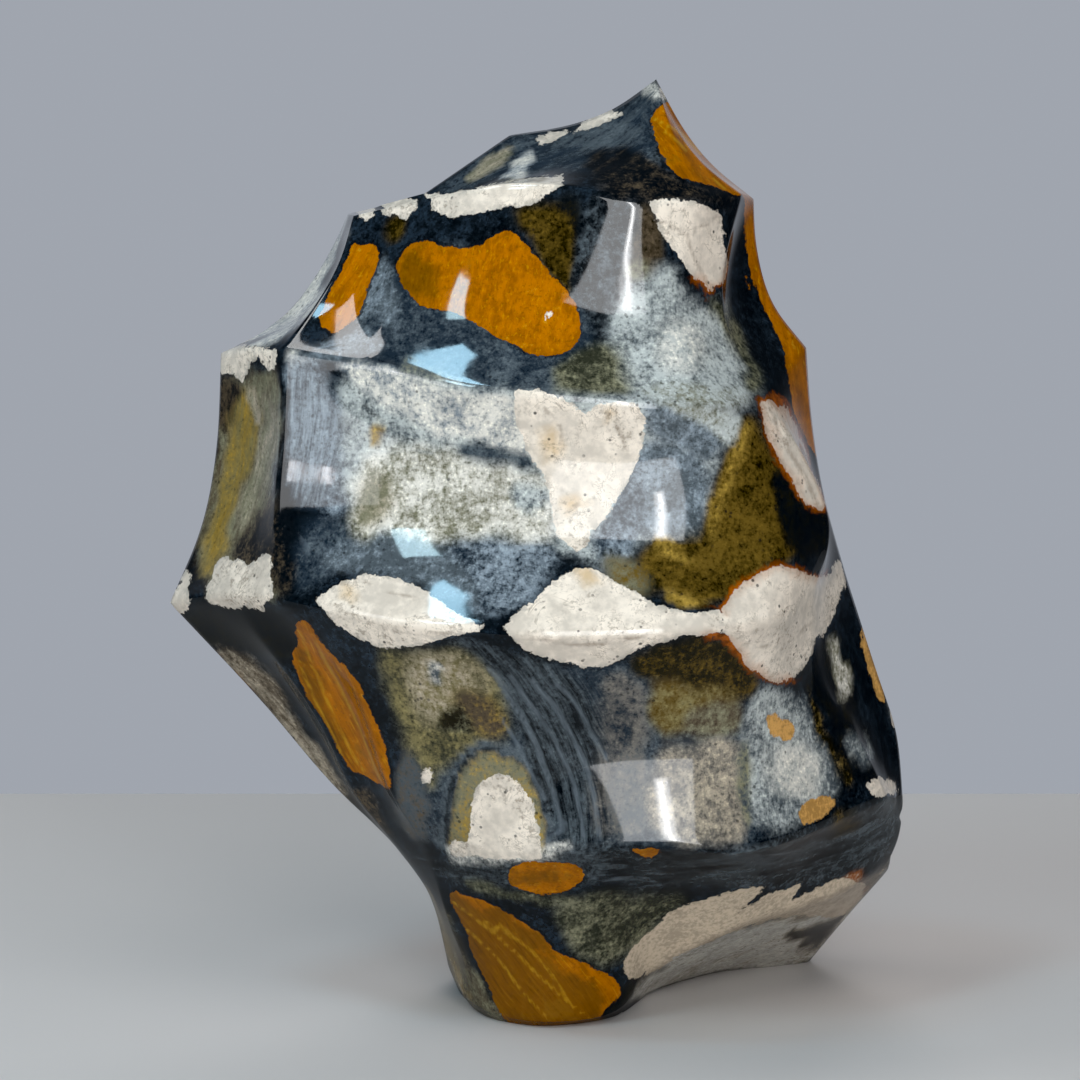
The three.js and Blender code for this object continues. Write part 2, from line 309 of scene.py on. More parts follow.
# Soft-edged areas of the ground, one over the other: the dark colour, the light colour and
# its share in the mottle, the softness of the edge in millimetres, and the outline.
GROUND = {
    "right": {
        "upper": (
            "umber", "sage", 0.4, 3, [(575, 280), (640, 280), (700, 340), (620, 360), (575, 350)],
        ),
        "middle": ("moss", "olive", 0.45, 3, [(580, 540), (640, 560), (700, 625), (600, 620)]),
        "low": (
            "slate", "pale", 0.5, 4, [(600, 660), (700, 650), (740, 760), (700, 860), (620, 860)],
        ),
        "under": (
            "umber", "beige", 0.35, 3,
            [(520, 960), (620, 965), (700, 1010), (760, 1060), (640, 1030), (540, 1010)],
        ),
    },
    "left": {
        "upper": (
            "slate", "pale", 0.5, 3, [(420, 240), (500, 230), (520, 330), (430, 350), (400, 300)],
        ),
        "middle": (
            "moss", "olive", 0.5, 3,
            [(410, 400), (520, 390), (530, 520), (520, 620), (420, 620), (370, 600), (400, 500)],
        ),
        "middle front": (
            "umber", "sage", 0.45, 3,
            [(540, 390), (640, 380), (650, 520), (690, 600), (550, 620), (540, 520)],
        ),
        "low": (
            "ink", "slate", 0.5, 4, [(380, 680), (520, 680), (520, 850), (380, 840), (350, 760)],
        ),
        "foot": ("moss", "sage", 0.5, 3, [(360, 900), (480, 900), (470, 1000), (360, 1000)]),
    },
    "back": {
        "crown": (
            "black", "slate", 0.4, 3,
            [(430, 90), (480, 120), (560, 140), (600, 190), (500, 195), (350, 205), (400, 140)],
        ),
        "upper slate": (
            "ink", "slate", 0.6, 4, [(340, 230), (430, 225), (440, 330), (430, 400), (300, 330)],
        ),
        "upper sage": (
            "slate", "sage", 0.5, 3,
            [(460, 230), (560, 220), (650, 235), (700, 300), (720, 345), (540, 370), (460, 380)],
        ),
        "middle olive": (
            "moss", "olive", 0.6, 3,
            [(300, 420), (380, 420), (440, 440), (455, 520), (440, 600), (360, 590), (270, 480)],
        ),
        "middle pale": (
            "slate", "pale", 0.68, 4,
            [(455, 400), (560, 385), (720, 360), (760, 420), (735, 520), (640, 560), (600, 610),
             (480, 600), (430, 560), (470, 500)],
        ),
        "side": (
            "umber", "sage", 0.4, 3,
            [(750, 370), (850, 370), (860, 450), (890, 560), (820, 590), (790, 520), (760, 450)],
        ),
        "low umber": (
            "black", "umber", 0.5, 3,
            [(520, 660), (650, 630), (820, 620), (720, 740), (650, 720), (560, 700)],
        ),
        "low olive": (
            "moss", "olive", 0.5, 3,
            [(210, 660), (300, 650), (400, 680), (380, 760), (330, 850), (230, 850), (190, 760)],
        ),
        "low pale": (
            "ink", "pale", 0.5, 4,
            [(400, 800), (480, 740), (560, 720), (640, 740), (650, 800), (600, 835), (420, 850)],
        ),
        "foot beige": (
            "umber", "beige", 0.4, 3,
            [(180, 880), (280, 850), (400, 870), (350, 940), (330, 1050), (220, 1040), (180, 960)],
        ),
        "foot green": (
            "moss", "sage", 0.5, 3,
            [(340, 1000), (400, 890), (470, 850), (560, 880), (650, 850), (660, 930), (560, 990),
             (540, 1060), (400, 1060)],
        ),
    },
    "front": {
        # The crown above the upper ridge.
        "crown": (
            "ink", "slate", 0.35, 2.5,
            [(432, 192), (465, 165), (500, 140), (560, 136), (620, 110), (652, 80), (668, 92),
             (655, 130), (648, 165), (600, 180), (560, 176), (500, 180)],
        ),
        "crown low": (
            "black", "umber", 0.22, 2.5,
            [(590, 150), (640, 145), (665, 170), (700, 186), (745, 192), (740, 204), (690, 200),
             (640, 196), (590, 186), (572, 170)],
        ),
        "crown dish": (
            "sage", "beige", 0.45, 1.2,
            [(464, 177), (478, 164), (497, 153), (514, 148), (510, 161), (495, 172), (478, 180)],
        ),
        # Painted highlight: a pale steel and chalk stripe along the crest of the ridge between the
        # dish and the crown hollow.
        "crown ridge highlight": (
            "steel", "chalk", 0.6, 0.8,
            [(500, 180), (515, 170), (528, 156), (536, 156), (530, 168), (515, 180)],
        ),
        "crown blue": (
            "ink", "slate", 0.62, 2,
            [(545, 145), (600, 125), (640, 118), (650, 135), (620, 150), (570, 155)],
        ),
        "peak": (
            "slate", "chalk", 0.5, 1,
            [(644, 80), (656, 72), (668, 88), (672, 97), (662, 98), (652, 92)],
        ),
        # The hollows under the upper ridge.
        "upper base": (
            "ink", "slate", 0.4, 3,
            [(345, 345), (400, 250), (520, 240), (600, 290), (720, 300), (770, 395), (640, 402),
             (520, 392), (400, 372)],
        ),
        # The left sliver is partly streaked grey stone and partly a painted reflection: its pale steel
        # and chalk tones stand in for the wall reflected at a grazing angle.
        "left sliver": (
            "steel", "chalk", 0.6, 1.5,
            [(240, 345), (275, 325), (305, 290), (325, 250), (340, 222), (354, 216), (346, 240),
             (332, 275), (314, 305), (290, 332), (262, 350)],
        ),
        "upper left dark": (
            "black", "ink", 0.5, 2,
            [(357, 206), (420, 200), (418, 230), (398, 258), (380, 250), (372, 238), (350, 240),
             (345, 222)],
        ),
        "upper left umber": (
            "moss", "olive", 0.35, 1.5, [(384, 218), (402, 216), (400, 240), (388, 246), (380, 236)],
        ),
        "upper left grey": (
            "slate", "steel", 0.4, 2.5,
            [(378, 255), (395, 262), (402, 290), (404, 320), (398, 345), (376, 335), (366, 322),
             (368, 300), (378, 275)],
        ),
        "upper left brown": (
            "ink", "slate", 0.4, 2,
            [(372, 312), (388, 308), (394, 330), (398, 350), (388, 356), (378, 345), (370, 330)],
        ),
        "left ridge": (
            "black", "ink", 0.6, 1.5,
            [(276, 345), (310, 322), (330, 330), (322, 342), (300, 352), (285, 356)],
        ),
        "left ledge": (
            "steel", "chalk", 0.75, 1.2,
            [(286, 350), (305, 350), (324, 360), (318, 372), (304, 378), (290, 368)],
        ),
        "left floor": (
            "slate", "steel", 0.35, 2,
            [(300, 352), (330, 338), (365, 324), (384, 340), (380, 356), (340, 360), (310, 356)],
        ),
        "under orange": (
            "ink", "slate", 0.42, 3,
            [(404, 300), (440, 312), (480, 328), (510, 345), (540, 360), (545, 385), (500, 392),
             (440, 386), (410, 372), (396, 350)],
        ),
        "under orange sage": (
            "slate", "sage", 0.5, 2,
            [(402, 358), (430, 366), (450, 378), (440, 388), (410, 378), (396, 368)],
        ),
        "upper dark": (
            "black", "moss", 0.3, 2.5,
            [(500, 215), (540, 205), (576, 192), (578, 260), (576, 290), (560, 270), (540, 245),
             (520, 225)],
        ),
        "beside orange": (
            "moss", "olive", 0.5, 2.5,
            [(508, 204), (535, 200), (560, 212), (574, 240), (580, 290), (574, 302), (556, 284),
             (538, 262), (524, 236)],
        ),
        "upper middle": (
            "black", "slate", 0.28, 2.5,
            [(576, 190), (632, 196), (650, 240), (650, 290), (620, 330), (590, 340), (578, 290)],
        ),
        "upper olive": (
            "moss", "umber", 0.55, 1.6,
            [(628, 196), (646, 200), (662, 236), (668, 258), (655, 278), (636, 284), (632, 250)],
        ),
        "upper olive low": (
            "umber", "sage", 0.5, 1.6,
            [(630, 258), (652, 262), (655, 280), (634, 290), (624, 278)],
        ),
        "upper low olive": (
            "pine", "sage", 0.4, 3,
            [(545, 365), (575, 346), (600, 334), (640, 345), (660, 372), (650, 396), (590, 398),
             (555, 394)],
        ),
        "upper pale": (
            "slate", "pale", 0.66, 5,
            [(600, 320), (625, 300), (650, 280), (672, 262), (690, 285), (712, 302), (728, 296),
             (742, 330), (755, 365), (764, 392), (740, 404), (700, 404), (650, 400), (630, 380),
             (620, 350)],
        ),
        "upper pale heart": (
            "pale", "chalk", 0.5, 5,
            [(655, 325), (690, 318), (705, 345), (690, 372), (660, 365)],
        ),
        "upper pale foot": (
            "sage", "pale", 0.62, 2.5,
            [(650, 385), (700, 380), (745, 388), (755, 400), (700, 405), (650, 402)],
        ),
        "upper right sage": (
            "pine", "sage", 0.4, 2,
            [(714, 292), (728, 296), (742, 318), (754, 350), (768, 390), (752, 394), (738, 362),
             (722, 325)],
        ),
        "right band": (
            "black", "ink", 0.25, 1.2,
            [(730, 204), (742, 205), (746, 240), (756, 285), (773, 330), (786, 365), (794, 410),
             (800, 440), (784, 420), (775, 400), (764, 384), (754, 345), (740, 300), (731, 280),
             (731, 250)],
        ),
        # The hollows between the shoulder and the waist.
        "left column": (
            "umber", "sage", 0.62, 2.5,
            [(222, 376), (245, 384), (270, 374), (284, 392), (284, 440), (272, 480), (268, 520),
             (240, 540), (215, 572), (192, 580), (205, 520), (216, 460), (218, 410)],
        ),
        "left column dark": (
            "black", "umber", 0.5, 2,
            [(214, 370), (240, 384), (241, 400), (232, 430), (218, 445), (213, 400)],
        ),
        "column mustard": (
            "khaki", "mustard", 0.6, 2.2,
            [(236, 398), (250, 395), (252, 430), (246, 470), (234, 510), (222, 545), (206, 575),
             (196, 578), (204, 530), (216, 480), (226, 440)],
        ),
        "column cream": (
            "sage", "beige", 0.6, 0.8,
            [(243, 398), (250, 394), (254, 408), (250, 426), (244, 422)],
        ),
        "column sage": (
            "sage", "beige", 0.35, 2,
            [(256, 400), (274, 410), (276, 450), (264, 500), (246, 530), (240, 500), (252, 460),
             (258, 430)],
        ),
        "column foot": (
            "black", "umber", 0.35, 2.5,
            [(226, 540), (250, 530), (275, 500), (300, 520), (320, 560), (290, 600), (262, 580),
             (232, 560)],
        ),
        "left light": (
            "ink", "steel", 0.5, 3,
            [(286, 358), (318, 352), (332, 368), (340, 420), (345, 480), (335, 515), (300, 508),
             (276, 500), (282, 440)],
        ),
        "seam": (
            "black", "ink", 0.1, 1.2,
            [(278, 352), (286, 352), (288, 395), (288, 440), (296, 500), (318, 512), (326, 530),
             (308, 556), (290, 560), (281, 500), (281, 395)],
        ),
        "left dark": (
            "ink", "slate", 0.45, 3,
            [(330, 365), (352, 385), (372, 420), (366, 470), (345, 520), (345, 470), (340, 410)],
        ),
        "left low": (
            "ink", "slate", 0.5, 3,
            [(306, 515), (340, 515), (368, 530), (352, 572), (320, 588), (300, 600), (300, 560)],
        ),
        "middle base": (
            "slate", "pale", 0.6, 3,
            [(345, 368), (420, 372), (520, 392), (640, 404), (722, 410), (716, 450), (700, 480),
             (700, 545), (640, 548), (600, 572), (560, 552), (500, 536), (440, 540), (370, 545),
             (340, 500), (336, 430)],
        ),
        "shoulder": (
            "steel", "chalk", 0.62, 1.6,
            [(336, 364), (360, 362), (385, 366), (409, 377), (440, 389), (480, 392), (516, 393),
             (524, 420), (532, 448), (500, 450), (470, 444), (440, 444), (415, 434), (392, 416),
             (368, 392)],
        ),
        "shoulder shade": (
            "slate", "pale", 0.6, 3,
            [(390, 414), (412, 424), (436, 442), (440, 452), (415, 452), (395, 444), (380, 428)],
        ),
        "middle pale": (
            "sage", "chalk", 0.62, 4,
            [(350, 462), (385, 450), (430, 452), (470, 462), (510, 470), (545, 470), (560, 500),
             (560, 530), (540, 545), (510, 530), (470, 532), (440, 545), (400, 530), (365, 545),
             (345, 520)],
        ),
        "middle sage": (
            "sage", "beige", 0.4, 4,
            [(352, 475), (385, 470), (395, 500), (375, 530), (352, 520)],
        ),
        "blot": (
            "umber", "mustard", 0.45, 1,
            [(363, 430), (372, 423), (383, 428), (386, 441), (378, 450), (366, 447)],
        ),
        "smudge": (
            "ink", "slate", 0.55, 1.4,
            [(452, 452), (470, 446), (495, 448), (528, 446), (532, 462), (505, 468), (480, 466),
             (460, 464)],
        ),
        "grey rings": (
            "slate", "pale", 0.45, 1.5, [(505, 490), (525, 480), (550, 488), (552, 505), (530, 512)],
        ),
        "waist slate": (
            "ink", "steel", 0.56, 3,
            [(430, 540), (470, 530), (515, 536), (556, 545), (562, 566), (530, 596), (500, 622),
             (470, 600), (445, 580), (425, 560)],
        ),
        "lens slate": (
            "slate", "steel", 0.35, 3,
            [(322, 560), (350, 546), (380, 536), (410, 536), (446, 544), (474, 570), (488, 612),
             (450, 596), (412, 580), (374, 576), (340, 580)],
        ),
        "slate top": (
            "slate", "steel", 0.4, 2,
            [(648, 410), (690, 412), (718, 428), (712, 450), (700, 462), (680, 452), (655, 446)],
        ),
        "pale beside bright": (
            "sage", "pale", 0.6, 2,
            [(655, 404), (700, 404), (748, 408), (742, 430), (722, 440), (700, 422), (672, 412)],
        ),
        "middle light": (
            "slate", "steel", 0.35, 2.5,
            [(640, 448), (680, 450), (706, 468), (702, 540), (650, 540), (628, 540), (634, 480)],
        ),
        "middle slate": (
            "ink", "steel", 0.4, 2.5,
            [(590, 545), (604, 520), (626, 486), (645, 450), (652, 500), (640, 545), (622, 575),
             (600, 566)],
        ),
        "middle olive": (
            "moss", "olive", 0.56, 2.5,
            [(712, 470), (728, 440), (745, 412), (762, 412), (768, 440), (785, 480), (800, 510),
             (812, 545), (790, 560), (760, 566), (735, 590), (715, 606), (690, 604), (660, 592),
             (640, 575), (650, 548), (700, 540)],
        ),
        "olive edge": (
            "olive", "mustard", 0.42, 2.2,
            [(708, 480), (730, 440), (748, 412), (756, 414), (746, 440), (726, 480), (714, 520),
             (706, 540), (702, 520)],
        ),
        "olive black": (
            "black", "moss", 0.3, 2,
            [(768, 470), (785, 482), (800, 508), (822, 512), (836, 522), (840, 552), (826, 562),
             (800, 560), (778, 540), (768, 510)],
        ),
        "yellow spot": (
            "olive", "mustard", 0.62, 0.8,
            [(656, 546), (664, 540), (676, 544), (684, 552), (694, 560), (686, 570), (676, 562),
             (664, 560)],
        ),
        "yellow spot low": (
            "olive", "mustard", 0.62, 0.8,
            [(668, 600), (684, 596), (702, 602), (698, 610), (680, 610)],
        ),
        "sage spot": ("sage", "olive", 0.45, 2.5, [(600, 560), (640, 560), (662, 590), (620, 582)]),
        # The hollows between the waist and the low ridge.
        "tip underside": (
            "black", "moss", 0.35, 2.5,
            [(165, 620), (205, 608), (290, 606), (300, 640), (290, 665), (250, 660), (215, 650),
             (180, 640)],
        ),
        "left skirt": (
            "umber", "beige", 0.54, 2.2,
            [(212, 653), (232, 657), (259, 675), (286, 703), (313, 743), (335, 778), (349, 804),
             (346, 817), (322, 792), (289, 742), (255, 701)],
        ),
        "skirt edge": (
            "rust", "mustard", 0.4, 1.2,
            [(203, 646), (215, 652), (235, 674), (252, 692), (240, 690), (210, 668)],
        ),
        "skirt foot": (
            "black", "umber", 0.4, 2, [(345, 790), (372, 790), (392, 830), (402, 850), (350, 815)],
        ),
        "low base": (
            "ink", "slate", 0.4, 3,
            [(470, 650), (560, 672), (640, 662), (720, 690), (800, 690), (850, 770), (780, 838),
             (640, 848), (540, 855), (440, 850), (400, 800), (420, 740), (500, 700)],
        ),
        "hollow olive": (
            "pine", "khaki", 0.62, 4,
            [(385, 652), (420, 655), (462, 650), (488, 672), (502, 705), (508, 728), (492, 742),
             (470, 752), (450, 775), (436, 800), (425, 770), (405, 740), (388, 705), (378, 670)],
        ),
        "hollow pale": (
            "khaki", "beige", 0.55, 5,
            [(402, 664), (436, 656), (470, 666), (486, 694), (472, 722), (440, 728), (414, 706)],
        ),
        "hollow mustard": (
            "umber", "mustard", 0.3, 3,
            [(446, 704), (470, 695), (500, 715), (502, 735), (480, 742)],
        ),
        "hollow dark": (
            "moss", "sage", 0.35, 1.6, [(440, 716), (466, 710), (474, 728), (455, 738), (442, 730)],
        ),
        "hollow chalk": (
            "slate", "chalk", 0.4, 1,
            [(424, 674), (436, 666), (446, 668), (440, 680), (444, 694), (436, 690)],
        ),
        "low left light": (
            "slate", "umber", 0.4, 2,
            [(398, 760), (418, 755), (430, 790), (432, 836), (405, 832), (396, 800)],
        ),
        "orb halo": (
            "ink", "slate", 0.7, 1.5,
            [(440, 848), (443, 805), (452, 772), (468, 750), (492, 740), (514, 750), (535, 778),
             (552, 815), (560, 852), (540, 866), (460, 860)],
        ),
        "flow": (
            "black", "slate", 0.5, 3,
            [(440, 640), (480, 640), (520, 655), (575, 680), (605, 740), (614, 800), (610, 850),
             (570, 855), (548, 820), (520, 760), (508, 710), (480, 660)],
        ),
        "orb ring": (
            "sage", "mustard", 0.35, 0.9,
            [(452, 846), (454, 815), (460, 784), (474, 764), (492, 756), (511, 761), (530, 780),
             (543, 812), (550, 845), (546, 860), (458, 858)],
        ),
        "orb foot": (
            "slate", "chalk", 0.5, 1.2,
            [(448, 840), (470, 842), (540, 850), (572, 846), (576, 856), (500, 862), (452, 858)],
        ),
        "low slate": (
            "ink", "ash", 0.62, 4,
            [(600, 672), (640, 690), (655, 738), (640, 745), (640, 840), (600, 842), (590, 800),
             (590, 740)],
        ),
        "low middle slate": (
            "slate", "ash", 0.6, 2,
            [(610, 745), (650, 742), (655, 800), (645, 840), (610, 840)],
        ),
        "low middle": (
            "ash", "beige", 0.42, 3,
            [(655, 745), (700, 742), (738, 740), (752, 790), (752, 826), (735, 842), (650, 840)],
        ),
        "low olive": (
            "moss", "olive", 0.36, 2.2,
            [(622, 668), (660, 648), (700, 640), (732, 640), (742, 665), (758, 690), (750, 705),
             (720, 700), (690, 690), (655, 688), (640, 690)],
        ),
        "low mustard": (
            "olive", "khaki", 0.4, 3,
            [(650, 688), (690, 685), (730, 692), (738, 708), (700, 730), (665, 735), (645, 710)],
        ),
        "low umber": (
            "umber", "sage", 0.4, 2.5,
            [(685, 705), (730, 698), (746, 712), (742, 738), (692, 738)],
        ),
        "low pale": (
            "slate", "pale", 0.5, 2.6,
            [(748, 705), (768, 692), (790, 698), (812, 720), (828, 750), (834, 785), (822, 800),
             (800, 820), (788, 835), (765, 826), (748, 800), (742, 750)],
        ),
        "low pale heart": (
            "pale", "chalk", 0.75, 4,
            [(772, 742), (792, 738), (812, 760), (812, 790), (790, 800), (772, 780)],
        ),
        "low sage": (
            "slate", "sage", 0.55, 1.6,
            [(742, 740), (752, 760), (758, 810), (752, 830), (742, 800), (736, 765)],
        ),
        "wedge": (
            "black", "moss", 0.3, 2,
            [(812, 652), (835, 640), (852, 690), (868, 735), (880, 770), (870, 785), (850, 780),
             (836, 740), (820, 700), (802, 690)],
        ),
        "mustard line": (
            "moss", "mustard", 0.35, 1.2,
            [(800, 690), (808, 700), (822, 728), (840, 762), (852, 782), (846, 786), (834, 768),
             (818, 738), (804, 706)],
        ),
        "flank": (
            "black", "ink", 0.25, 2,
            [(838, 600), (848, 590), (862, 640), (880, 700), (895, 760), (902, 800), (896, 840),
             (884, 800), (868, 750), (850, 690)],
        ),
        "flank pale": (
            "sage", "chalk", 0.45, 0.9,
            [(829, 640), (836, 637), (842, 660), (850, 685), (851, 704), (845, 700), (838, 675),
             (830, 655)],
        ),
        "flank pale low": (
            "slate", "pale", 0.5, 0.9, [(852, 728), (862, 745), (872, 765), (864, 768), (852, 748)],
        ),
        "ledge": (
            "black", "slate", 0.42, 2.5,
            [(400, 850), (500, 862), (600, 850), (700, 850), (790, 838), (850, 810), (905, 796),
             (892, 860), (860, 880), (760, 886), (680, 890), (600, 880), (480, 890)],
        ),
        "ledge olive": (
            "moss", "olive", 0.4, 2, [(826, 812), (850, 808), (862, 822), (850, 836), (830, 832)],
        ),
        "ledge sage": (
            "pine", "sage", 0.4, 1.6,
            [(460, 872), (500, 888), (560, 900), (600, 895), (590, 905), (540, 905), (480, 895)],
        ),
        # The foot.
        "green low": (
            "pine", "sage", 0.36, 4,
            [(548, 905), (600, 896), (670, 895), (680, 905), (650, 930), (615, 958), (585, 955),
             (560, 935)],
        ),
        "under": (
            "beige", "chalk", 0.75, 2.5,
            [(632, 1005), (650, 985), (700, 945), (760, 920), (840, 915), (866, 900), (850, 935),
             (800, 965), (740, 978), (690, 990), (655, 1010)],
        ),
        "under dark": (
            "black", "umber", 0.4, 1.2,
            [(770, 925), (800, 935), (850, 915), (840, 935), (815, 950), (780, 942)],
        ),
        "under brown": (
            "rust", "beige", 0.4, 1.2, [(836, 878), (852, 872), (868, 882), (864, 897), (848, 892)],
        ),
        "foot left": (
            "umber", "sage", 0.5, 2.2,
            [(448, 900), (466, 935), (486, 985), (506, 1034), (480, 1024), (462, 985), (448, 940)],
        ),
        "foot edge": (
            "mustard", "beige", 0.5, 1.5,
            [(420, 880), (438, 892), (450, 930), (464, 975), (478, 1014), (464, 1000), (446, 960),
             (430, 920)],
        ),
        "foot right": (
            "black", "moss", 0.2, 1.5,
            [(600, 1000), (625, 985), (650, 975), (640, 1000), (620, 1020), (595, 1034)],
        ),
    },
}

# Where the ground is drawn out into streaks: the line that they follow and the outline.
STREAKS = {
    "front": {
        "crown": (
            [(430, 195), (500, 165), (570, 150), (640, 100), (660, 70)],
            [(425, 198), (470, 155), (520, 132), (600, 112), (655, 70), (672, 95), (650, 160),
             (600, 186), (500, 188)],
        ),
        "left sliver": (
            [(240, 350), (290, 320), (325, 270), (350, 210)],
            [(235, 352), (280, 318), (310, 280), (330, 235), (345, 212), (356, 216), (340, 270),
             (316, 305), (285, 345)],
        ),
        "column": (
            [(250, 350), (248, 430), (230, 510), (190, 600)],
            [(212, 365), (345, 355), (348, 510), (280, 520), (230, 560), (180, 600), (200, 500),
             (212, 430)],
        ),
        "right band": (
            [(736, 195), (742, 260), (762, 330), (788, 420), (810, 480)],
            [(728, 200), (744, 200), (750, 270), (775, 330), (792, 380), (800, 450), (780, 425),
             (764, 385), (735, 300)],
        ),
        "flow": (
            [(440, 600), (490, 645), (530, 690), (560, 740), (578, 790), (586, 870)],
            [(430, 632), (480, 632), (540, 650), (600, 672), (620, 720), (622, 850), (570, 862),
             (550, 820), (525, 765), (500, 705), (465, 655)],
        ),
        "skirt": (
            [(190, 630), (240, 668), (290, 715), (335, 775), (400, 870)],
            [(200, 642), (250, 655), (300, 695), (350, 780), (390, 850), (350, 830), (300, 765),
             (240, 695)],
        ),
        "ledge": (
            [(360, 830), (460, 868), (600, 872), (720, 872), (820, 850), (910, 800)],
            [(370, 838), (480, 862), (600, 846), (720, 850), (800, 836), (900, 795), (892, 862),
             (840, 880), (700, 892), (600, 905), (500, 905), (430, 885)],
        ),
        "under": (
            [(600, 1030), (680, 965), (760, 925), (880, 890)],
            [(625, 1012), (650, 972), (700, 935), (770, 908), (866, 895), (850, 940), (780, 975),
             (690, 995)],
        ),
        "foot edge": (
            [(425, 870), (445, 930), (470, 990), (500, 1050)],
            [(418, 878), (446, 890), (480, 970), (515, 1036), (470, 1015), (440, 960)],
        ),
        "flank": (
            [(838, 590), (862, 660), (888, 740), (905, 830)],
            [(838, 596), (852, 590), (895, 700), (908, 800), (896, 845), (872, 770), (848, 690)],
        ),
    },
    "back": {
        "side": (
            [(800, 340), (805, 450), (840, 620)],
            [(742, 370), (860, 360), (866, 450), (900, 590), (815, 600), (770, 500)],
        ),
        "low umber": (
            [(500, 700), (600, 660), (720, 650), (840, 620)],
            [(480, 690), (560, 650), (690, 615), (830, 615), (740, 720), (640, 740), (520, 740)],
        ),
    },
}

# Thin veins: kind, half their width in millimetres and the line.
VEINS = {
    "front": [
        ("pale_vein", 0.33, [(488, 668), (520, 712), (548, 768), (562, 830)]),
        ("pale_vein", 0.24, [(508, 676), (545, 722), (572, 775), (584, 838)]),
        ("pale_vein", 0.30, [(532, 680), (568, 724), (592, 776), (600, 838)]),
        ("pale_vein", 0.21, [(500, 716), (526, 760), (545, 800)]),
        ("pale_vein", 0.24, [(556, 684), (586, 716), (606, 760)]),
        ("pale_vein", 0.30, [(532, 848), (552, 838), (566, 826)]),
        ("pale_vein", 0.18, [(578, 870), (600, 880), (640, 876), (660, 884)]),
        ("pale_vein", 0.21, [(350, 466), (372, 454), (400, 450), (432, 452)]),
        ("pale_vein", 0.18, [(297, 536), (310, 548)]),
        ("pale_vein", 0.18, [(302, 548), (308, 556)]),
        ("dark_vein", 0.24, [(330, 364), (352, 388), (378, 420)]),
        ("dark_vein", 0.26, [(345, 633), (400, 650), (450, 642), (486, 634)]),
        ("dark_vein", 0.24, [(506, 636), (540, 662), (600, 670)]),
        ("dark_vein", 0.30, [(560, 688), (588, 732), (604, 790), (606, 845)]),
        ("dark_vein", 0.34, [(448, 846), (446, 806), (458, 770), (478, 750), (500, 748)]),
        ("dark_vein", 0.19, [(738, 914), (752, 900), (768, 888)]),
        ("dark_vein", 0.19, [(790, 903), (806, 891)]),
        ("crack", 0.20, [(652, 220), (672, 226), (687, 236), (702, 226), (722, 213)]),
        ("crack", 0.15, [(687, 236), (694, 256), (708, 286)]),
        ("crack", 0.20, [(770, 408), (784, 440), (802, 474), (818, 504)]),
        ("crack", 0.18, [(336, 604), (366, 622), (410, 634), (452, 634)]),
        ("crack", 0.15, [(362, 578), (384, 592), (420, 600)]),
        ("crack", 0.18, [(524, 636), (570, 646), (620, 642), (650, 634)]),
        ("crack", 0.15, [(742, 640), (764, 648), (792, 640), (812, 620)]),
        ("crack", 0.18, [(522, 402), (548, 410), (562, 428), (560, 446)]),
        ("crack", 0.15, [(566, 512), (584, 500), (602, 500)]),
        ("crack", 0.15, [(600, 410), (616, 424), (628, 448)]),
        ("yellow_vein", 0.16, [(300, 632), (322, 688), (346, 742), (366, 776)]),
        ("yellow_vein", 0.13, [(298, 656), (318, 706), (344, 758)]),
        ("yellow_vein", 0.12, [(314, 640), (342, 690), (364, 738), (382, 782)]),
        ("yellow_vein", 0.16, [(452, 902), (500, 938), (540, 978), (572, 1006), (600, 1022)]),
        ("yellow_vein", 0.10, [(482, 920), (524, 944), (556, 980), (574, 1010)]),
        ("yellow_vein", 0.13, [(466, 930), (500, 962), (530, 1000), (548, 1020)]),
        ("yellow_vein", 0.08, [(498, 924), (540, 958), (562, 990)]),
        ("yellow_vein", 0.25, [(651, 117), (672, 126), (690, 140), (702, 152)]),
        ("yellow_vein", 0.20, [(664, 131), (676, 141), (684, 151)]),
        ("yellow_vein", 0.20, [(712, 178), (726, 190)]),
    ],
    "back": [
        ("pale_vein", 0.33, [(340, 250), (430, 300), (560, 300), (700, 330)]),
        ("pale_vein", 0.27, [(240, 560), (320, 590), (440, 610)]),
        ("dark_vein", 0.29, [(480, 700), (560, 690), (650, 640)]),
        ("yellow_vein", 0.29, [(400, 940), (470, 960), (540, 1010)]),
        ("yellow_vein", 0.22, [(430, 925), (500, 945), (560, 990)]),
    ],
}

# Soft ochre stains in the cream, brown shades in the orange, and rust that creeps in from the
# edges of the cream.
STAINS = {
    "front": {
        "bright": [(530, 424), (546, 422), (566, 438), (560, 452), (546, 458), (534, 442)],
        "bright low": [(560, 500), (580, 496), (588, 508), (570, 514)],
        "bright right": [(606, 412), (620, 410), (624, 420), (612, 424)],
        "waist lens": [(345, 590), (362, 590), (366, 604), (360, 614), (348, 608)],
        "waist middle": [(566, 570), (590, 568), (604, 578), (580, 584)],
    },
    "back": {
        "waist": [(360, 620), (400, 616), (420, 632), (380, 640)],
        "heart": [(560, 490), (590, 486), (600, 510), (570, 516)],
    },
}

SHADES = {
    "front": {
        "foot": [
            (440, 880), (474, 896), (540, 946), (592, 978), (604, 1000), (596, 1040),
            (500, 1040), (456, 940),
        ],
        "foot top": [(470, 893), (540, 930), (560, 960), (520, 950), (480, 915)],
        "top": [(398, 250), (420, 243), (444, 262), (446, 300), (420, 304), (402, 284)],
        "low lens": [(506, 862), (560, 862), (560, 878), (510, 882)],
        "lower left": [(292, 640), (312, 660), (345, 720), (350, 765), (320, 720), (295, 672)],
    },
}

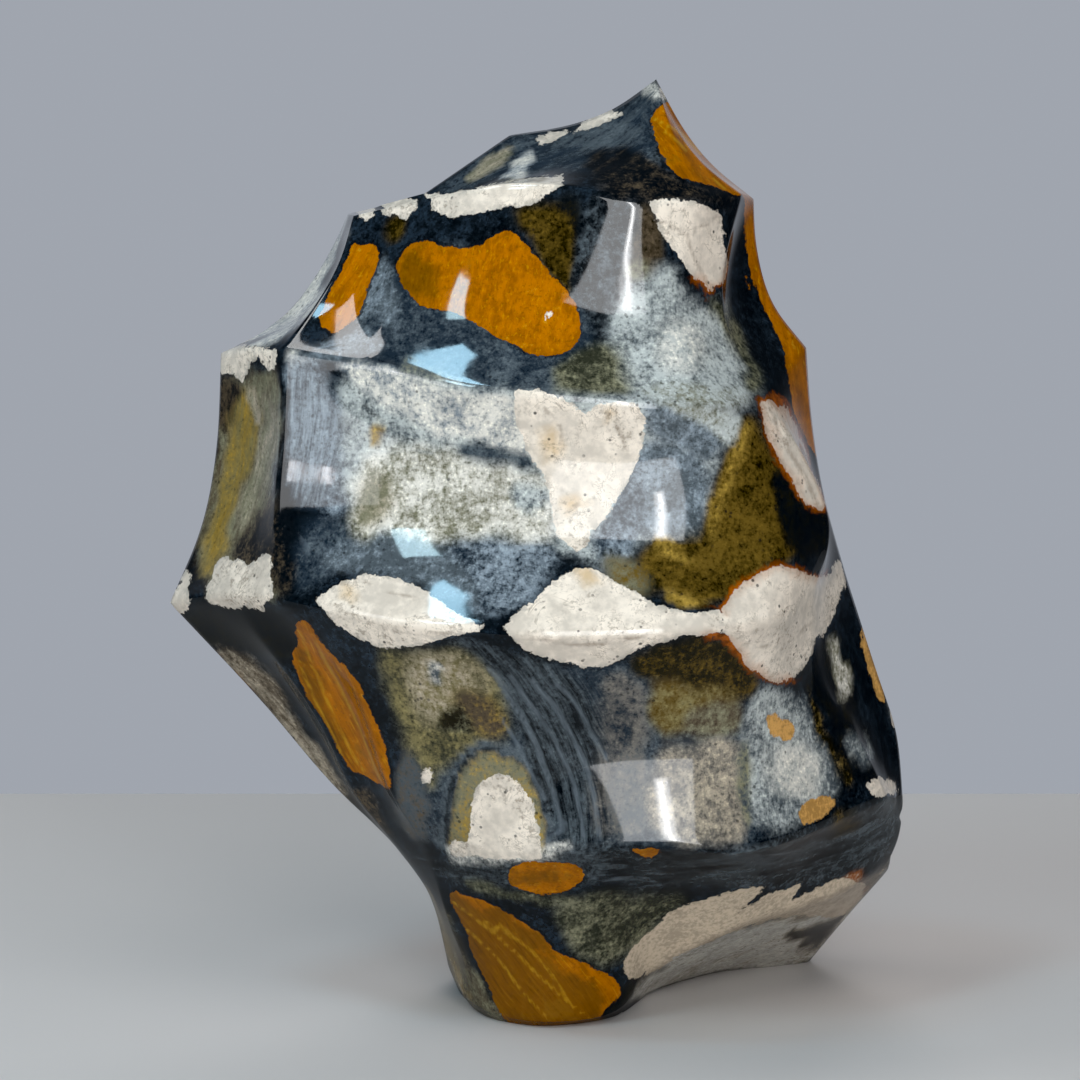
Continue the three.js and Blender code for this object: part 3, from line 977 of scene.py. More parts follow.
RUST = {
    "front": {
        "triangle": [(712, 262), (738, 262), (738, 296), (705, 306), (690, 284)],
        "right ellipse": [(755, 392), (800, 392), (835, 515), (800, 520), (755, 450)],
        "waist right": [(700, 552), (830, 550), (820, 590), (760, 590), (722, 616), (700, 604)],
        "waist right low": [(690, 630), (745, 636), (800, 690), (740, 694), (715, 660)],
    },
    "back": {
        "heart": [(590, 440), (655, 460), (650, 540), (600, 560)],
        "low": [(420, 820), (520, 815), (520, 860), (420, 880)],
    },
}


def camera_axes(azimuth):
    """Place, right, up and forward of a camera that has gone round the stone by azimuth."""
    away = Vector((
        math.sin(azimuth) * math.cos(CAMERA_ELEVATION),
        -math.cos(azimuth) * math.cos(CAMERA_ELEVATION),
        math.sin(CAMERA_ELEVATION),
    ))
    right = Vector((math.cos(azimuth), math.sin(azimuth), 0.0))
    up = away.cross(right)
    return AIM + away * CAMERA_DISTANCE, right, up, -away


class View:
    """The stone's vertices as the camera sees them from one side."""

    def __init__(self, points, normals, azimuth):
        place, right, up, forward = (np.array(axis) for axis in camera_axes(azimuth))
        offset = points - place
        self.depth = offset @ forward
        self.facing = normals @ -forward
        across = PICTURE_MIDDLE + FOCAL_PIXELS * (offset @ right) / self.depth
        down = PICTURE_MIDDLE - FOCAL_PIXELS * (offset @ up) / self.depth
        self.places = np.stack([across, down], 1)

    def distance(self, outline, behind=PATCH_DEPTH):
        """Distance in millimetres to a patch drawn in this view, less than zero inside it."""
        gap = np.full(len(self.places), FAR)
        reach = FAR * PIXELS_PER_MM
        low, high = outline.min(0) - reach, outline.max(0) + reach
        near = ((self.places > low) & (self.places < high)).all(1)
        flat = signed_distance(self.places[near], outline) / PIXELS_PER_MM
        depth = self.depth[near]
        seen = (flat < 0) & (self.facing[near] > 0)
        if not seen.any():
            return gap
        nearest, farthest = np.percentile(depth[seen], [5, 95])
        beyond = np.abs(depth - (nearest + farthest) / 2) - (farthest - nearest) / 2
        beyond = beyond * 1000 - behind
        outside = np.hypot(np.maximum(flat, 0), np.maximum(beyond, 0))
        gap[near] = np.where(outside > 0, outside, np.maximum(flat, beyond))
        return np.clip(gap, -FAR, FAR)


def rounded(outline, closed=True, passes=2):
    """The outline or line with its corners cut, so what is drawn has no straight sides."""
    points = np.array(outline, float)
    for _ in range(passes):
        following = np.roll(points, -1, 0)
        cut = np.stack([points * 0.75 + following * 0.25, points * 0.25 + following * 0.75], 1)
        if closed:
            points = cut.reshape(-1, 2)
        else:
            points = np.vstack([points[:1], cut[:-1].reshape(-1, 2), points[-1:]])
    return points


def line_course(places, line):
    """Signed distance from a line and the distance gone along it, both in pixels."""
    nearest = np.full(len(places), 1e9)
    across = np.zeros(len(places))
    along = np.zeros(len(places))
    gone = 0.0
    for start, end in zip(line[:-1], line[1:]):
        span = end - start
        length = math.hypot(*span)
        share = np.clip((places - start) @ span / max(length, 1e-6) ** 2, 0, 1)
        gap = places - start - share[:, None] * span
        distance = np.hypot(gap[:, 0], gap[:, 1])
        side = np.where(span[0] * gap[:, 1] > span[1] * gap[:, 0], 1.0, -1.0)
        closer = distance < nearest
        nearest = np.where(closer, distance, nearest)
        across = np.where(closer, side * distance, across)
        along = np.where(closer, gone + share * length, along)
        gone += length
    return across, along


def signed_distance(places, outline):
    """Distance of each place to the outline in pixels, less than zero inside it."""
    closed = np.vstack([outline, outline[:1]])
    inside = np.zeros(len(places), bool)
    for (x0, y0), (x1, y1) in zip(closed[:-1], closed[1:]):
        if y0 == y1:
            continue
        crosses = (y0 > places[:, 1]) != (y1 > places[:, 1])
        inside ^= crosses & (places[:, 0] < (x1 - x0) * (places[:, 1] - y0) / (y1 - y0) + x0)
    gap = np.abs(line_course(places, closed)[0])
    return np.where(inside, -gap, gap)


def smooth_step(value, low, high):
    """0 at low and less, 1 at high and more, and an easy rise between."""
    share = np.clip((value - low) / (high - low), 0, 1)
    return share * share * (3 - 2 * share)


def linear(red, green, blue):
    """Linear colour from the 0 to 255 values of a paint chart."""
    return tuple(
        value / 255 / 12.92 if value <= 10 else ((value / 255 + 0.055) / 1.055) ** 2.4
        for value in (red, green, blue)
    )


def stone_colour(name, description, red, green, blue):
    return bpy.props.FloatVectorProperty(
        name=name, description=description, default=linear(red, green, blue),
        subtype="COLOR", min=0, max=1,
    )


class StoneSettings(bpy.types.PropertyGroup):
    ridge_sharpness: bpy.props.FloatProperty(
        name="Ridge sharpness",
        description="How crisp the ground ridges stay after polishing",
        default=0.85, min=0, max=1, subtype="FACTOR",
    )
    polish_roughness: bpy.props.FloatProperty(
        name="Polish roughness",
        description="Roughness of the polished surface",
        default=0.06, min=0, max=1, subtype="FACTOR",
    )
    cream: stone_colour("Cream", "Cream agate patches", 243, 231, 215)
    ochre: stone_colour("Ochre", "Stains in the cream", 205, 172, 120)
    tan: stone_colour("Tan", "Tan patch on the foot", 212, 194, 170)
    honey: stone_colour("Honey", "Small honey patches", 212, 162, 92)
    orange: stone_colour("Orange", "Orange jasper patches", 178, 106, 3)
    rust: stone_colour("Rust", "Rust round some cream patches", 160, 84, 18)
    mustard: stone_colour("Mustard", "Light grains of the olive areas", 156, 128, 56)
    olive: stone_colour("Olive", "Olive areas", 98, 78, 30)
    khaki: stone_colour("Khaki", "Light grains of the brown-green areas", 132, 122, 82)
    pine: stone_colour("Pine", "Dark grains of the grey-green areas", 56, 58, 46)
    moss: stone_colour("Moss", "Dark grains of the olive areas", 32, 28, 12)
    sage: stone_colour("Sage", "Grey-green areas", 130, 128, 104)
    beige: stone_colour("Beige", "Light brown-grey areas", 180, 168, 148)
    umber: stone_colour("Umber", "Brown-grey areas", 88, 76, 60)
    chalk: stone_colour("Chalk", "Whitest grains of the pale areas", 224, 220, 210)
    pale: stone_colour("Pale", "Pale blue-grey areas", 184, 190, 188)
    steel: stone_colour("Steel", "Light blue-grey areas", 138, 150, 160)
    ash: stone_colour("Ash", "Neutral grey areas", 112, 108, 102)
    slate: stone_colour("Slate", "Blue-grey areas", 86, 95, 101)
    ink: stone_colour("Ink", "Dark blue areas", 38, 49, 60)
    black: stone_colour("Black", "Blue-black ground", 21, 24, 27)


class StageSettings(bpy.types.PropertyGroup):
    table_colour: bpy.props.FloatVectorProperty(
        name="Table", description="Colour of the table top",
        default=linear(210, 206, 204), subtype="COLOR", min=0, max=1,
    )
    wall_colour: bpy.props.FloatVectorProperty(
        name="Wall", description="Colour of the room behind the table",
        default=linear(161, 166, 175), subtype="COLOR", min=0, max=1,
    )
    room_brightness: bpy.props.FloatProperty(
        name="Room brightness", description="Brightness of the room in front of the stone",
        default=0.14, min=0,
    )
    table_back: bpy.props.FloatProperty(
        name="Table back edge", description="How far behind the stone the table ends",
        default=0.24, unit="LENGTH",
    )
    table_front: bpy.props.FloatProperty(
        name="Table front edge", description="How far in front of the stone the table ends",
        default=0.27, unit="LENGTH",
    )
    table_length: bpy.props.FloatProperty(
        name="Table length", description="Length of the table from left to right",
        default=2.4, unit="LENGTH",
    )
    reflected_table: bpy.props.FloatProperty(
        name="Reflected table", description="How bright the table shows in the stone's reflections",
        default=0.4, min=0, max=1, subtype="FACTOR",
    )
    black_point: bpy.props.FloatProperty(
        name="Black point", description="Linear brightness shown as black in the picture",
        default=0.007, min=0, max=0.1,
    )


class Nodes:
    """Builds a node tree from left to right in a few words per node."""

    def __init__(self, tree):
        self.tree = tree
        self.count = 0

    def add(self, kind, inputs=(), **settings):
        node = self.tree.nodes.new(kind)
        node.location = (220 * (self.count // 6), -260 * (self.count % 6))
        self.count += 1
        for key, value in settings.items():
            setattr(node, key, value)
        for key, value in dict(inputs).items():
            if isinstance(value, bpy.types.NodeSocket):
                self.tree.links.new(value, node.inputs[key])
            else:
                node.inputs[key].default_value = value
        return node

    def attribute(self, name, output="Fac"):
        return self.add("ShaderNodeAttribute", attribute_name=name).outputs[output]

    def noise(self, vector, scale, detail=3.0, roughness=0.5, distortion=0.0):
        return self.add(
            "ShaderNodeTexNoise",
            {"Vector": vector, "Scale": scale, "Detail": detail, "Roughness": roughness,
             "Distortion": distortion},
        ).outputs["Fac"]

    def math(self, operation, a, b=0.0, c=0.0, clamp=False):
        return self.add(
            "ShaderNodeMath", {0: a, 1: b, 2: c}, operation=operation, use_clamp=clamp,
        ).outputs[0]

    def add_up(self, *terms):
        """Sum of values and of (value, factor) pairs."""
        total = 0.0
        for term in terms:
            value, factor = term if isinstance(term, tuple) else (term, 1.0)
            total = self.math("MULTIPLY_ADD", value, factor, total)
        return total

    def step(self, value, low, high, out_low=0.0, out_high=1.0):
        """Smooth step from out_low at low to out_high at high."""
        return self.add(
            "ShaderNodeMapRange",
            {"Value": value, "From Min": low, "From Max": high, "To Min": out_low,
             "To Max": out_high},
            interpolation_type="SMOOTHSTEP",
        ).outputs[0]

    def mix(self, share, a, b, blend="MIX"):
        def colour(value):
            return value if isinstance(value, bpy.types.NodeSocket) else (*value, 1.0)
        return self.add(
            "ShaderNodeMix", {0: share, 6: colour(a), 7: colour(b)},
            data_type="RGBA", blend_type=blend,
        ).outputs[2]


# Linear colours of the fine detail inside the patches.
ORANGE_DETAIL = {
    "gold streak": (0.62, 0.30, 0.008),
    "brown streak": (0.17, 0.06, 0.002),
    "brown grain": (0.15, 0.06, 0.004),
    "gold grain": (0.60, 0.32, 0.02),
    "dark shade": (0.05, 0.022, 0.002),
    "warm shade": (0.22, 0.092, 0.004),
    "brown cloud": (0.22, 0.10, 0.006),
    "yellow vein": (0.56, 0.31, 0.015),
}
CREAM_DETAIL = {
    "drawn crack": (0.26, 0.20, 0.15),
    "crack": (0.26, 0.21, 0.16),
    "grain": (0.24, 0.19, 0.14),
    "edge": (0.30, 0.29, 0.26),
    "blush": (0.42, 0.22, 0.12),
    "pit": (0.02, 0.02, 0.02),
}


def scaled(colour, factor):
    return tuple(channel * factor for channel in colour)


def ground_colour(n, grains, streaks):
    """The mottled ground: two tones per area, in grains or drawn out into streaks."""
    broad, medium, fine, grain = grains
    long_streak, thin_streak = streaks
    speckled = n.add_up((medium, 0.32), (fine, 0.36), (grain, 0.32))
    streaked = n.add_up((long_streak, 0.46), (thin_streak, 0.26), (fine, 0.14), (grain, 0.14))
    drawn_out = n.attribute("streaked")
    mottle = n.add_up(
        (speckled, n.math("SUBTRACT", 1.0, drawn_out)), n.math("MULTIPLY", streaked, drawn_out),
    )
    level = n.add_up(
        (n.math("SUBTRACT", mottle, 0.5), 3.9), (broad, 0.9), (n.attribute("light_share"), 1.3),
    )
    light = n.step(level, 0.62, 1.58)
    colour = n.mix(light, n.attribute("dark_tone", "Color"), n.attribute("light_tone", "Color"))
    # Clouds and grains a little darker and lighter than the mottle.
    cloud = n.step(n.add_up((medium, 0.7), (fine, 0.3)), 0.36, 0.64)
    colour = n.mix(cloud, n.mix(1.0, colour, (0.74, 0.74, 0.74), "MULTIPLY"), colour)
    dark_grain = n.math("MULTIPLY", n.step(grain, 0.46, 0.30), 0.55)
    colour = n.mix(dark_grain, colour, (0.35, 0.35, 0.33), "MULTIPLY")
    light_grain = n.math("MULTIPLY", n.step(grain, 0.56, 0.72), 0.5)
    return n.mix(light_grain, colour, (1.7, 1.7, 1.6), "MULTIPLY")


def orange_colour(n, settings, grains, streaks):
    """The orange jasper: gold and brown streaks, brown shades and clouds."""
    broad, medium, fine, grain = grains
    long_streak, thin_streak = streaks
    detail = ORANGE_DETAIL
    cloud = n.add_up((long_streak, 0.5), (medium, 0.3), (fine, 0.2))
    orange = n.mix(n.step(cloud, 0.38, 0.58), scaled(settings.orange, 0.6), settings.orange)
    orange = n.mix(n.step(thin_streak, 0.56, 0.72, 0.0, 0.5), orange, detail["gold streak"])
    orange = n.mix(n.step(thin_streak, 0.44, 0.30, 0.0, 0.45), orange, detail["brown streak"])
    orange = n.mix(n.step(grain, 0.45, 0.30, 0.0, 0.5), orange, detail["brown grain"])
    orange = n.mix(n.step(fine, 0.60, 0.74, 0.0, 0.4), orange, detail["gold grain"])
    shade = n.step(n.add_up(n.attribute("shade"), (medium, 5.0), -2.5), 1.0, -2.0, 0.0, 0.8)
    shaded = n.mix(thin_streak, detail["dark shade"], detail["warm shade"])
    orange = n.mix(shade, orange, shaded)
    clouded = n.step(n.add_up((medium, 0.6), (broad, 0.4)), 0.58, 0.66, 0.0, 0.6)
    return n.mix(clouded, orange, detail["brown cloud"])


def cream_colour(n, settings, grains, place, edge, rust_reach):
    """The cream agate: clouds, stains, cracks, gathered grains and a darker edge."""
    broad, medium, fine, grain = grains
    detail = CREAM_DETAIL
    clouds = n.add_up((medium, 0.5), (broad, 0.25), (fine, 0.25))
    cream = n.mix(n.step(clouds, 0.40, 0.60), scaled(settings.cream, 0.68), settings.cream)
    warm = n.step(n.add_up(n.attribute("stain"), (medium, 4.0), -2.0), 1.2, -1.6, 0.0, 0.65)
    cream = n.mix(warm, cream, settings.ochre)
    drawn = n.step(n.add_up(n.attribute("crack"), (fine, 1.2), -0.6), 0.5, -0.25, 0.0, 0.5)
    cream = n.mix(drawn, cream, detail["drawn crack"])
    # Finer cracks, as scale, width and strength.
    for scale, width, strength in ((110, 0.014, 0.55), (300, 0.02, 0.4)):
        crack = n.math("ABSOLUTE", n.math("SUBTRACT", n.noise(place, scale, 5, 0.65, 0.6), 0.5))
        crack = n.math("MULTIPLY", n.step(crack, width, 0.001), n.step(medium, 0.44, 0.58))
        cream = n.mix(n.math("MULTIPLY", crack, strength), cream, detail["crack"])
    # Brown grains gathered in clouds.
    gathered = n.step(n.noise(place, 75, 3, 0.6), 0.47, 0.62)
    grains_here = n.step(n.add_up((grain, 0.7), (fine, 0.3)), 0.50, 0.38)
    grains_here = n.math("MULTIPLY", gathered, n.math("MULTIPLY", grains_here, 0.6))
    cream = n.mix(grains_here, cream, detail["grain"])
    near_edge = n.math("MULTIPLY", n.step(edge, -1.4, -0.1), n.step(fine, 0.52, 0.40))
    cream = n.mix(n.math("MULTIPLY", near_edge, 0.45), cream, detail["edge"])
    blush = n.math("MULTIPLY", rust_reach, n.step(n.add_up(edge, (medium, 4.0), -2.0), -2.2, 0.2))
    return n.mix(n.math("MULTIPLY", blush, 0.5), cream, detail["blush"])


def black_pits(n, place, medium):
    """Small black pits, gathered in places."""
    spots = n.add("ShaderNodeTexVoronoi", {"Vector": place, "Scale": 640.0}).outputs["Distance"]
    gathered = n.step(n.add_up((n.noise(place, 260, 2), 0.6), (medium, 0.4)), 0.50, 0.62)
    return n.math("MULTIPLY", n.step(spots, 0.26, 0.14), gathered)


def jasper_material(settings):
    """The polished jasper: a mottled ground under veins, patches and pits."""
    material = bpy.data.materials.new("polished_jasper")
    material.use_nodes = True
    tree = material.node_tree
    tree.nodes.clear()
    n = Nodes(tree)
    place = n.add("ShaderNodeTexCoord").outputs["Object"]

    # From clouds of about 20 mm down to grains of about half a millimetre.
    broad = n.noise(place, 48, 2)
    medium = n.noise(place, 170, 4, 0.6)
    fine = n.noise(place, 560, 3, 0.6)
    grain = n.noise(place, 1350, 2, 0.7)
    grains = (broad, medium, fine, grain)
    drawn_out = n.add("ShaderNodeCombineXYZ", {
        "X": n.attribute("streak_across"),
        "Y": n.math("MULTIPLY", n.attribute("streak_along"), 0.11),
    }).outputs[0]
    streaks = (n.noise(drawn_out, 0.75, 4, 0.6, 0.3), n.noise(drawn_out, 2.2, 3, 0.6, 0.2))
    ragged = n.add_up((fine, 1.0), (grain, 0.5), -0.75)

    ground = ground_colour(n, grains, streaks)
    pits = black_pits(n, place, medium)
    ground = n.mix(n.math("MULTIPLY", pits, 0.7), ground, scaled(settings.black, 0.8))

    # Thin veins in the ground.
    for kind, colour, strength in (
        ("dark_vein", settings.black, 0.75), ("pale_vein", settings.steel, 0.28),
    ):
        edge = n.add_up(n.attribute(kind), (ragged, 0.9))
        ground = n.mix(n.step(edge, 0.45, -0.25, 0.0, strength), ground, colour)

    for kind, dark, light in (
        ("honey", scaled(settings.honey, 0.6), settings.honey),
        ("tan", scaled(settings.tan, 0.66), settings.tan),
    ):
        edge = n.add_up(n.attribute(kind), (ragged, 1.6), (medium, 1.6), -0.8)
        patch = n.mix(n.step(n.add_up((medium, 0.5), (grain, 0.5)), 0.40, 0.58), dark, light)
        ground = n.mix(n.step(edge, 0.16, -0.16), ground, patch)

    # Orange patches inside a thin black edge.
    edge = n.add_up(n.attribute("orange"), (ragged, 1.2), (medium, 1.8), -0.9)
    rim_width = n.step(medium, 0.42, 0.62, 0.0, 0.8)
    rim = n.step(n.math("SUBTRACT", edge, rim_width), 0.15, -0.25, 0.0, 0.7)
    ground = n.mix(rim, ground, scaled(settings.black, 0.7))
    orange = orange_colour(n, settings, grains, streaks)
    vein = n.add_up(n.attribute("yellow_vein"), (ragged, 0.6))
    orange = n.mix(n.step(vein, 0.35, -0.25, 0.0, 0.6), orange, ORANGE_DETAIL["yellow vein"])
    ground = n.mix(n.step(edge, 0.12, -0.12), ground, orange)

    # Cream patches, with rust round those that the stain reaches.
    edge = n.add_up(n.attribute("cream"), (ragged, 1.8), (medium, 2.2), -1.1)
    rust_reach = n.step(n.add_up(n.attribute("rust"), (medium, 3.0), -1.5), 0.6, -0.6)
    rim = n.step(n.add_up(edge, (broad, 4.0), (fine, 1.5), -2.75), 1.2, 0.2)
    rim = n.math("MULTIPLY", rim, rust_reach)
    rust = n.mix(n.step(fine, 0.40, 0.62), scaled(settings.rust, 0.4), settings.rust)
    ground = n.mix(n.math("MULTIPLY", rim, 0.9), ground, rust)
    cream = cream_colour(n, settings, grains, place, edge, rust_reach)
    cream = n.mix(n.math("MULTIPLY", pits, 0.85), cream, CREAM_DETAIL["pit"])
    colour = n.mix(n.step(edge, 0.12, -0.12), ground, cream)

    roughness = n.step(n.add_up((medium, 0.5), (fine, 0.5)), 0.35, 0.65,
                       settings.polish_roughness * 0.7, settings.polish_roughness * 1.4)
    bump = n.add("ShaderNodeBump", {
        "Strength": 0.06, "Distance": 0.00005, "Height": n.math("SUBTRACT", fine, pits),
    })
    surface = n.add("ShaderNodeBsdfPrincipled", {
        "Base Color": colour, "Roughness": roughness, "IOR": 1.54,
        "Normal": bump.outputs["Normal"],
    })
    n.add("ShaderNodeOutputMaterial", {"Surface": surface.outputs[0]})
    return material


def table_material(settings):
    """A plain matt table top, dimmer in the stone's reflections."""
    material = bpy.data.materials.new("table_top")
    material.use_nodes = True
    n = Nodes(material.node_tree)
    reflected = n.add("ShaderNodeLightPath").outputs["Is Glossy Ray"]
    colour = n.mix(reflected, tuple(settings.table_colour),
                   scaled(settings.table_colour, settings.reflected_table))
    shader = material.node_tree.nodes["Principled BSDF"]
    shader.inputs["Roughness"].default_value = 0.75
    material.node_tree.links.new(colour, shader.inputs["Base Color"])
    return material


def deselect_all():
    for other in bpy.context.view_layer.objects:
        other.select_set(False)


def select_only(piece):
    deselect_all()
    piece.select_set(True)
    bpy.context.view_layer.objects.active = piece


# Corners closer than this are merged, in metres. Triangles are joined in pairs up to these
# angles, in degrees. Ridges that turn by more than each of the crease angles, in degrees, are
# kept crisper, a step at a time.
MERGE_DISTANCE = 1e-5
PAIR_BEND = 50
PAIR_SKEW = 60
CREASE_ANGLES = (14, 19, 25, 32, 40)
SMOOTH_LEVELS = 2


def polish(piece, sharpness):
    """Turns the faceted copy into one smooth surface with crisp, slightly rounded ridges."""
    select_only(piece)
    if piece.data.has_custom_normals:
        bpy.ops.mesh.customdata_custom_splitnormals_clear()
    bpy.ops.object.mode_set(mode="EDIT")
    bpy.ops.mesh.select_mode(type="EDGE")
    bpy.ops.mesh.select_all(action="SELECT")
    bpy.ops.mesh.remove_doubles(threshold=MERGE_DISTANCE)
    bpy.ops.mesh.tris_convert_to_quads(
        face_threshold=math.radians(PAIR_BEND), shape_threshold=math.radians(PAIR_SKEW),
    )
    for angle in CREASE_ANGLES:
        bpy.ops.mesh.select_all(action="DESELECT")
        bpy.ops.mesh.edges_select_sharp(sharpness=math.radians(angle))
        bpy.ops.transform.edge_crease(value=sharpness / len(CREASE_ANGLES))
    bpy.ops.object.mode_set(mode="OBJECT")
    smooth = piece.modifiers.new("polish", "SUBSURF")
    smooth.levels = SMOOTH_LEVELS
    smooth.render_levels = SMOOTH_LEVELS
    bpy.ops.object.modifier_apply(modifier=smooth.name)
    bpy.ops.object.shade_smooth()


def read_vectors(mesh, key):
    values = np.empty(len(mesh.vertices) * 3)
    mesh.vertices.foreach_get(key, values)
    return values.reshape(-1, 3)


def drift(points, swirls):
    """A swirling shift of each point, the same in each run."""
    total = np.zeros_like(points)
    for frequency, reach in swirls:
        swirl = [noise.noise_vector(Vector(point) * frequency) for point in points]
        total += reach * np.array(swirl)
    return total


def store(piece, name, values):
    """Keeps one number per vertex, for the material to read."""
    layer = piece.data.attributes.new(name, "FLOAT", "POINT")
    layer.data.foreach_set("value", np.ascontiguousarray(values, np.float32))


def store_colour(piece, name, colours):
    """Keeps one colour per vertex, for the material to read."""
    layer = piece.data.attributes.new(name, "FLOAT_COLOR", "POINT")
    with_alpha = np.ones((len(colours), 4), np.float32)
    with_alpha[:, :3] = colours
    layer.data.foreach_set("color", with_alpha.ravel())


def paint_patches(piece, name, views, drawn):
    """Stores how far every vertex is from the nearest of the patches."""
    nearest = np.full(len(piece.data.vertices), FAR)
    for side, outlines in drawn.items():
        passes = 0 if side == "front" else 2
        for outline in outlines.values():
            nearest = np.minimum(nearest, views[side].distance(rounded(outline, passes=passes)))
    store(piece, name, nearest)


def paint_ground(piece, views, settings):
    """Stores the two tones of the ground and the share of the light one."""
    count = len(piece.data.vertices)
    bare_dark, bare_light, bare_share = BARE_GROUND
    dark = np.tile(np.array(getattr(settings, bare_dark)), (count, 1))
    light = np.tile(np.array(getattr(settings, bare_light)), (count, 1))
    share = np.full(count, bare_share)
    for side, areas in GROUND.items():
        for dark_name, light_name, area_share, softness, outline in areas.values():
            gap = views[side].distance(rounded(outline), behind=AREA_DEPTH)
            cover = smooth_step(-gap, -softness / 2, softness / 2)
            dark += cover[:, None] * (np.array(getattr(settings, dark_name)) - dark)
            light += cover[:, None] * (np.array(getattr(settings, light_name)) - light)
            share += cover * (area_share - share)
    store_colour(piece, "dark_tone", dark)
    store_colour(piece, "light_tone", light)
    store(piece, "light_share", share)


def paint_streaks(piece, views):
    """Stores where the ground is drawn out, and a course for the streaks there and in the orange."""
    count = len(piece.data.vertices)
    streaked, across, along = np.zeros(count), np.zeros(count), np.zeros(count)
    for side, areas in STREAKS.items():
        for line, outline in areas.values():
            gap = views[side].distance(rounded(outline), behind=AREA_DEPTH)
            here = gap < 0
            over, gone = line_course(views[side].places, rounded(line, closed=False))
            across = np.where(here, over / PIXELS_PER_MM, across)
            along = np.where(here, gone / PIXELS_PER_MM, along)
            streaked = np.where(here, smooth_step(-gap, 0, 3), streaked)
    store(piece, "streaked", streaked)

    nearest = np.full(count, FAR)
    for side, patches in ORANGE.items():
        for angle, shortness, outline in patches.values():
            gap = views[side].distance(rounded(outline, passes=1))
            here = (gap < nearest) & (gap < STREAK_MARGIN)
            nearest = np.minimum(nearest, gap)
            turn = math.radians(angle)
            places = views[side].places / PIXELS_PER_MM
            across = np.where(here, places @ (math.sin(turn), math.cos(turn)), across)
            run = places @ (math.cos(turn), -math.sin(turn))
            along = np.where(here, run * shortness, along)
    store(piece, "orange", nearest)
    store(piece, "streak_across", across)
    store(piece, "streak_along", along)


def paint_veins(piece, views):
    """Stores how far every vertex is from the edge of the nearest vein of each kind."""
    for kind in ("pale_vein", "dark_vein", "yellow_vein", "crack"):
        nearest = np.full(len(piece.data.vertices), FAR)
        for side, veins in VEINS.items():
            view = views[side]
            for vein_kind, half_width, line in veins:
                if vein_kind != kind:
                    continue
                over, _ = line_course(view.places, rounded(line, closed=False))
                gap = np.where(view.facing > 0, np.abs(over) / PIXELS_PER_MM - half_width, FAR)
                nearest = np.minimum(nearest, gap)
        store(piece, kind, nearest)


def paint_markings(piece, settings):
    """Stores the markings on the vertices of the polished stone."""
    points = read_vectors(piece.data, "co")
    normals = read_vectors(piece.data, "normal")
    noise.seed_set(DRIFT_SEED)
    crisp_drift = drift(points, CRISP_DRIFT)
    loose_drift = crisp_drift + drift(points, LOOSE_DRIFT)
    wild_drift = crisp_drift + drift(points, WILD_DRIFT)
    # The front keeps close to its outlines. The other sides are drawn loosely and bent more.
    crisp = {side: View(points + wild_drift, normals, turn) for side, turn in SIDES.items()}
    loose = dict(crisp)
    crisp["front"] = View(points + crisp_drift, normals, SIDES["front"])
    loose["front"] = View(points + loose_drift, normals, SIDES["front"])
    for name, drawn in (("cream", CREAM), ("tan", TAN), ("honey", HONEY)):
        paint_patches(piece, name, crisp, drawn)
    for name, drawn in (("stain", STAINS), ("shade", SHADES), ("rust", RUST)):
        paint_patches(piece, name, loose, drawn)
    paint_ground(piece, loose, settings)
    paint_streaks(piece, crisp)
    paint_veins(piece, crisp)


class JASPER_OT_stone(bpy.types.Operator):
    """Makes the polished stone with its markings"""

    bl_idname = "jasper.stone"
    bl_label = "Polished stone"

    def execute(self, context):
        settings = context.scene.jasper_stone
        node = frame["nodes"]["stone"]
        piece = bpy.data.objects.new("polished_stone", node.data.copy())
        context.scene.collection.objects.link(piece)
        piece.data.materials.clear()
        polish(piece, settings.ridge_sharpness)
        paint_markings(piece, settings)
        piece.data.materials.append(jasper_material(settings))
        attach(piece, "root")
        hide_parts("stone")
        return {"FINISHED"}


# Softboxes round the stone: azimuth from the camera's side towards the right and elevation,
# both in degrees, distance, width and height in metres, radiance and colour.
SOFTBOXES = {
    "right_softbox": (6, 6, 0.90, 0.42, 0.86, 4.4, (0.97, 0.985, 1.0)),
    "right_tube": (11, 14, 0.88, 0.022, 0.44, 13.0, (1.0, 1.0, 1.0)),
    "right_glow": (11, 14, 0.89, 0.060, 0.50, 8.0, (1.0, 1.0, 1.0)),
    "left_softbox": (-53, 8, 0.90, 0.28, 0.37, 2.8, (0.97, 0.98, 1.0)),
    "left_tube": (-53, 11, 0.89, 0.008, 0.06, 18.0, (1.0, 0.98, 1.0)),
    "window": (-37, 40, 0.90, 0.13, 0.28, 13.0, (0.60, 0.88, 1.0)),
    "window_top": (-50, 65, 0.90, 0.20, 0.10, 16.0, (0.45, 0.78, 1.0)),
    "left_top_softbox": (-92, 57, 0.90, 0.26, 0.20, 6.0, (1.0, 0.99, 0.98)),
}
# Lights that brighten the stone and the table and show in no reflection.
FILLS = {
    "front_fill": (20, 55, 0.70, 0.40, 0.40, 2.6, (1.0, 0.995, 0.99)),
    "rear_fill": (170, 35, 1.20, 0.60, 0.60, 3.4, (1.0, 0.995, 0.99)),
}
# The place that the lights face.
LIT_MIDDLE = Vector((0.0, -0.03, 0.1))


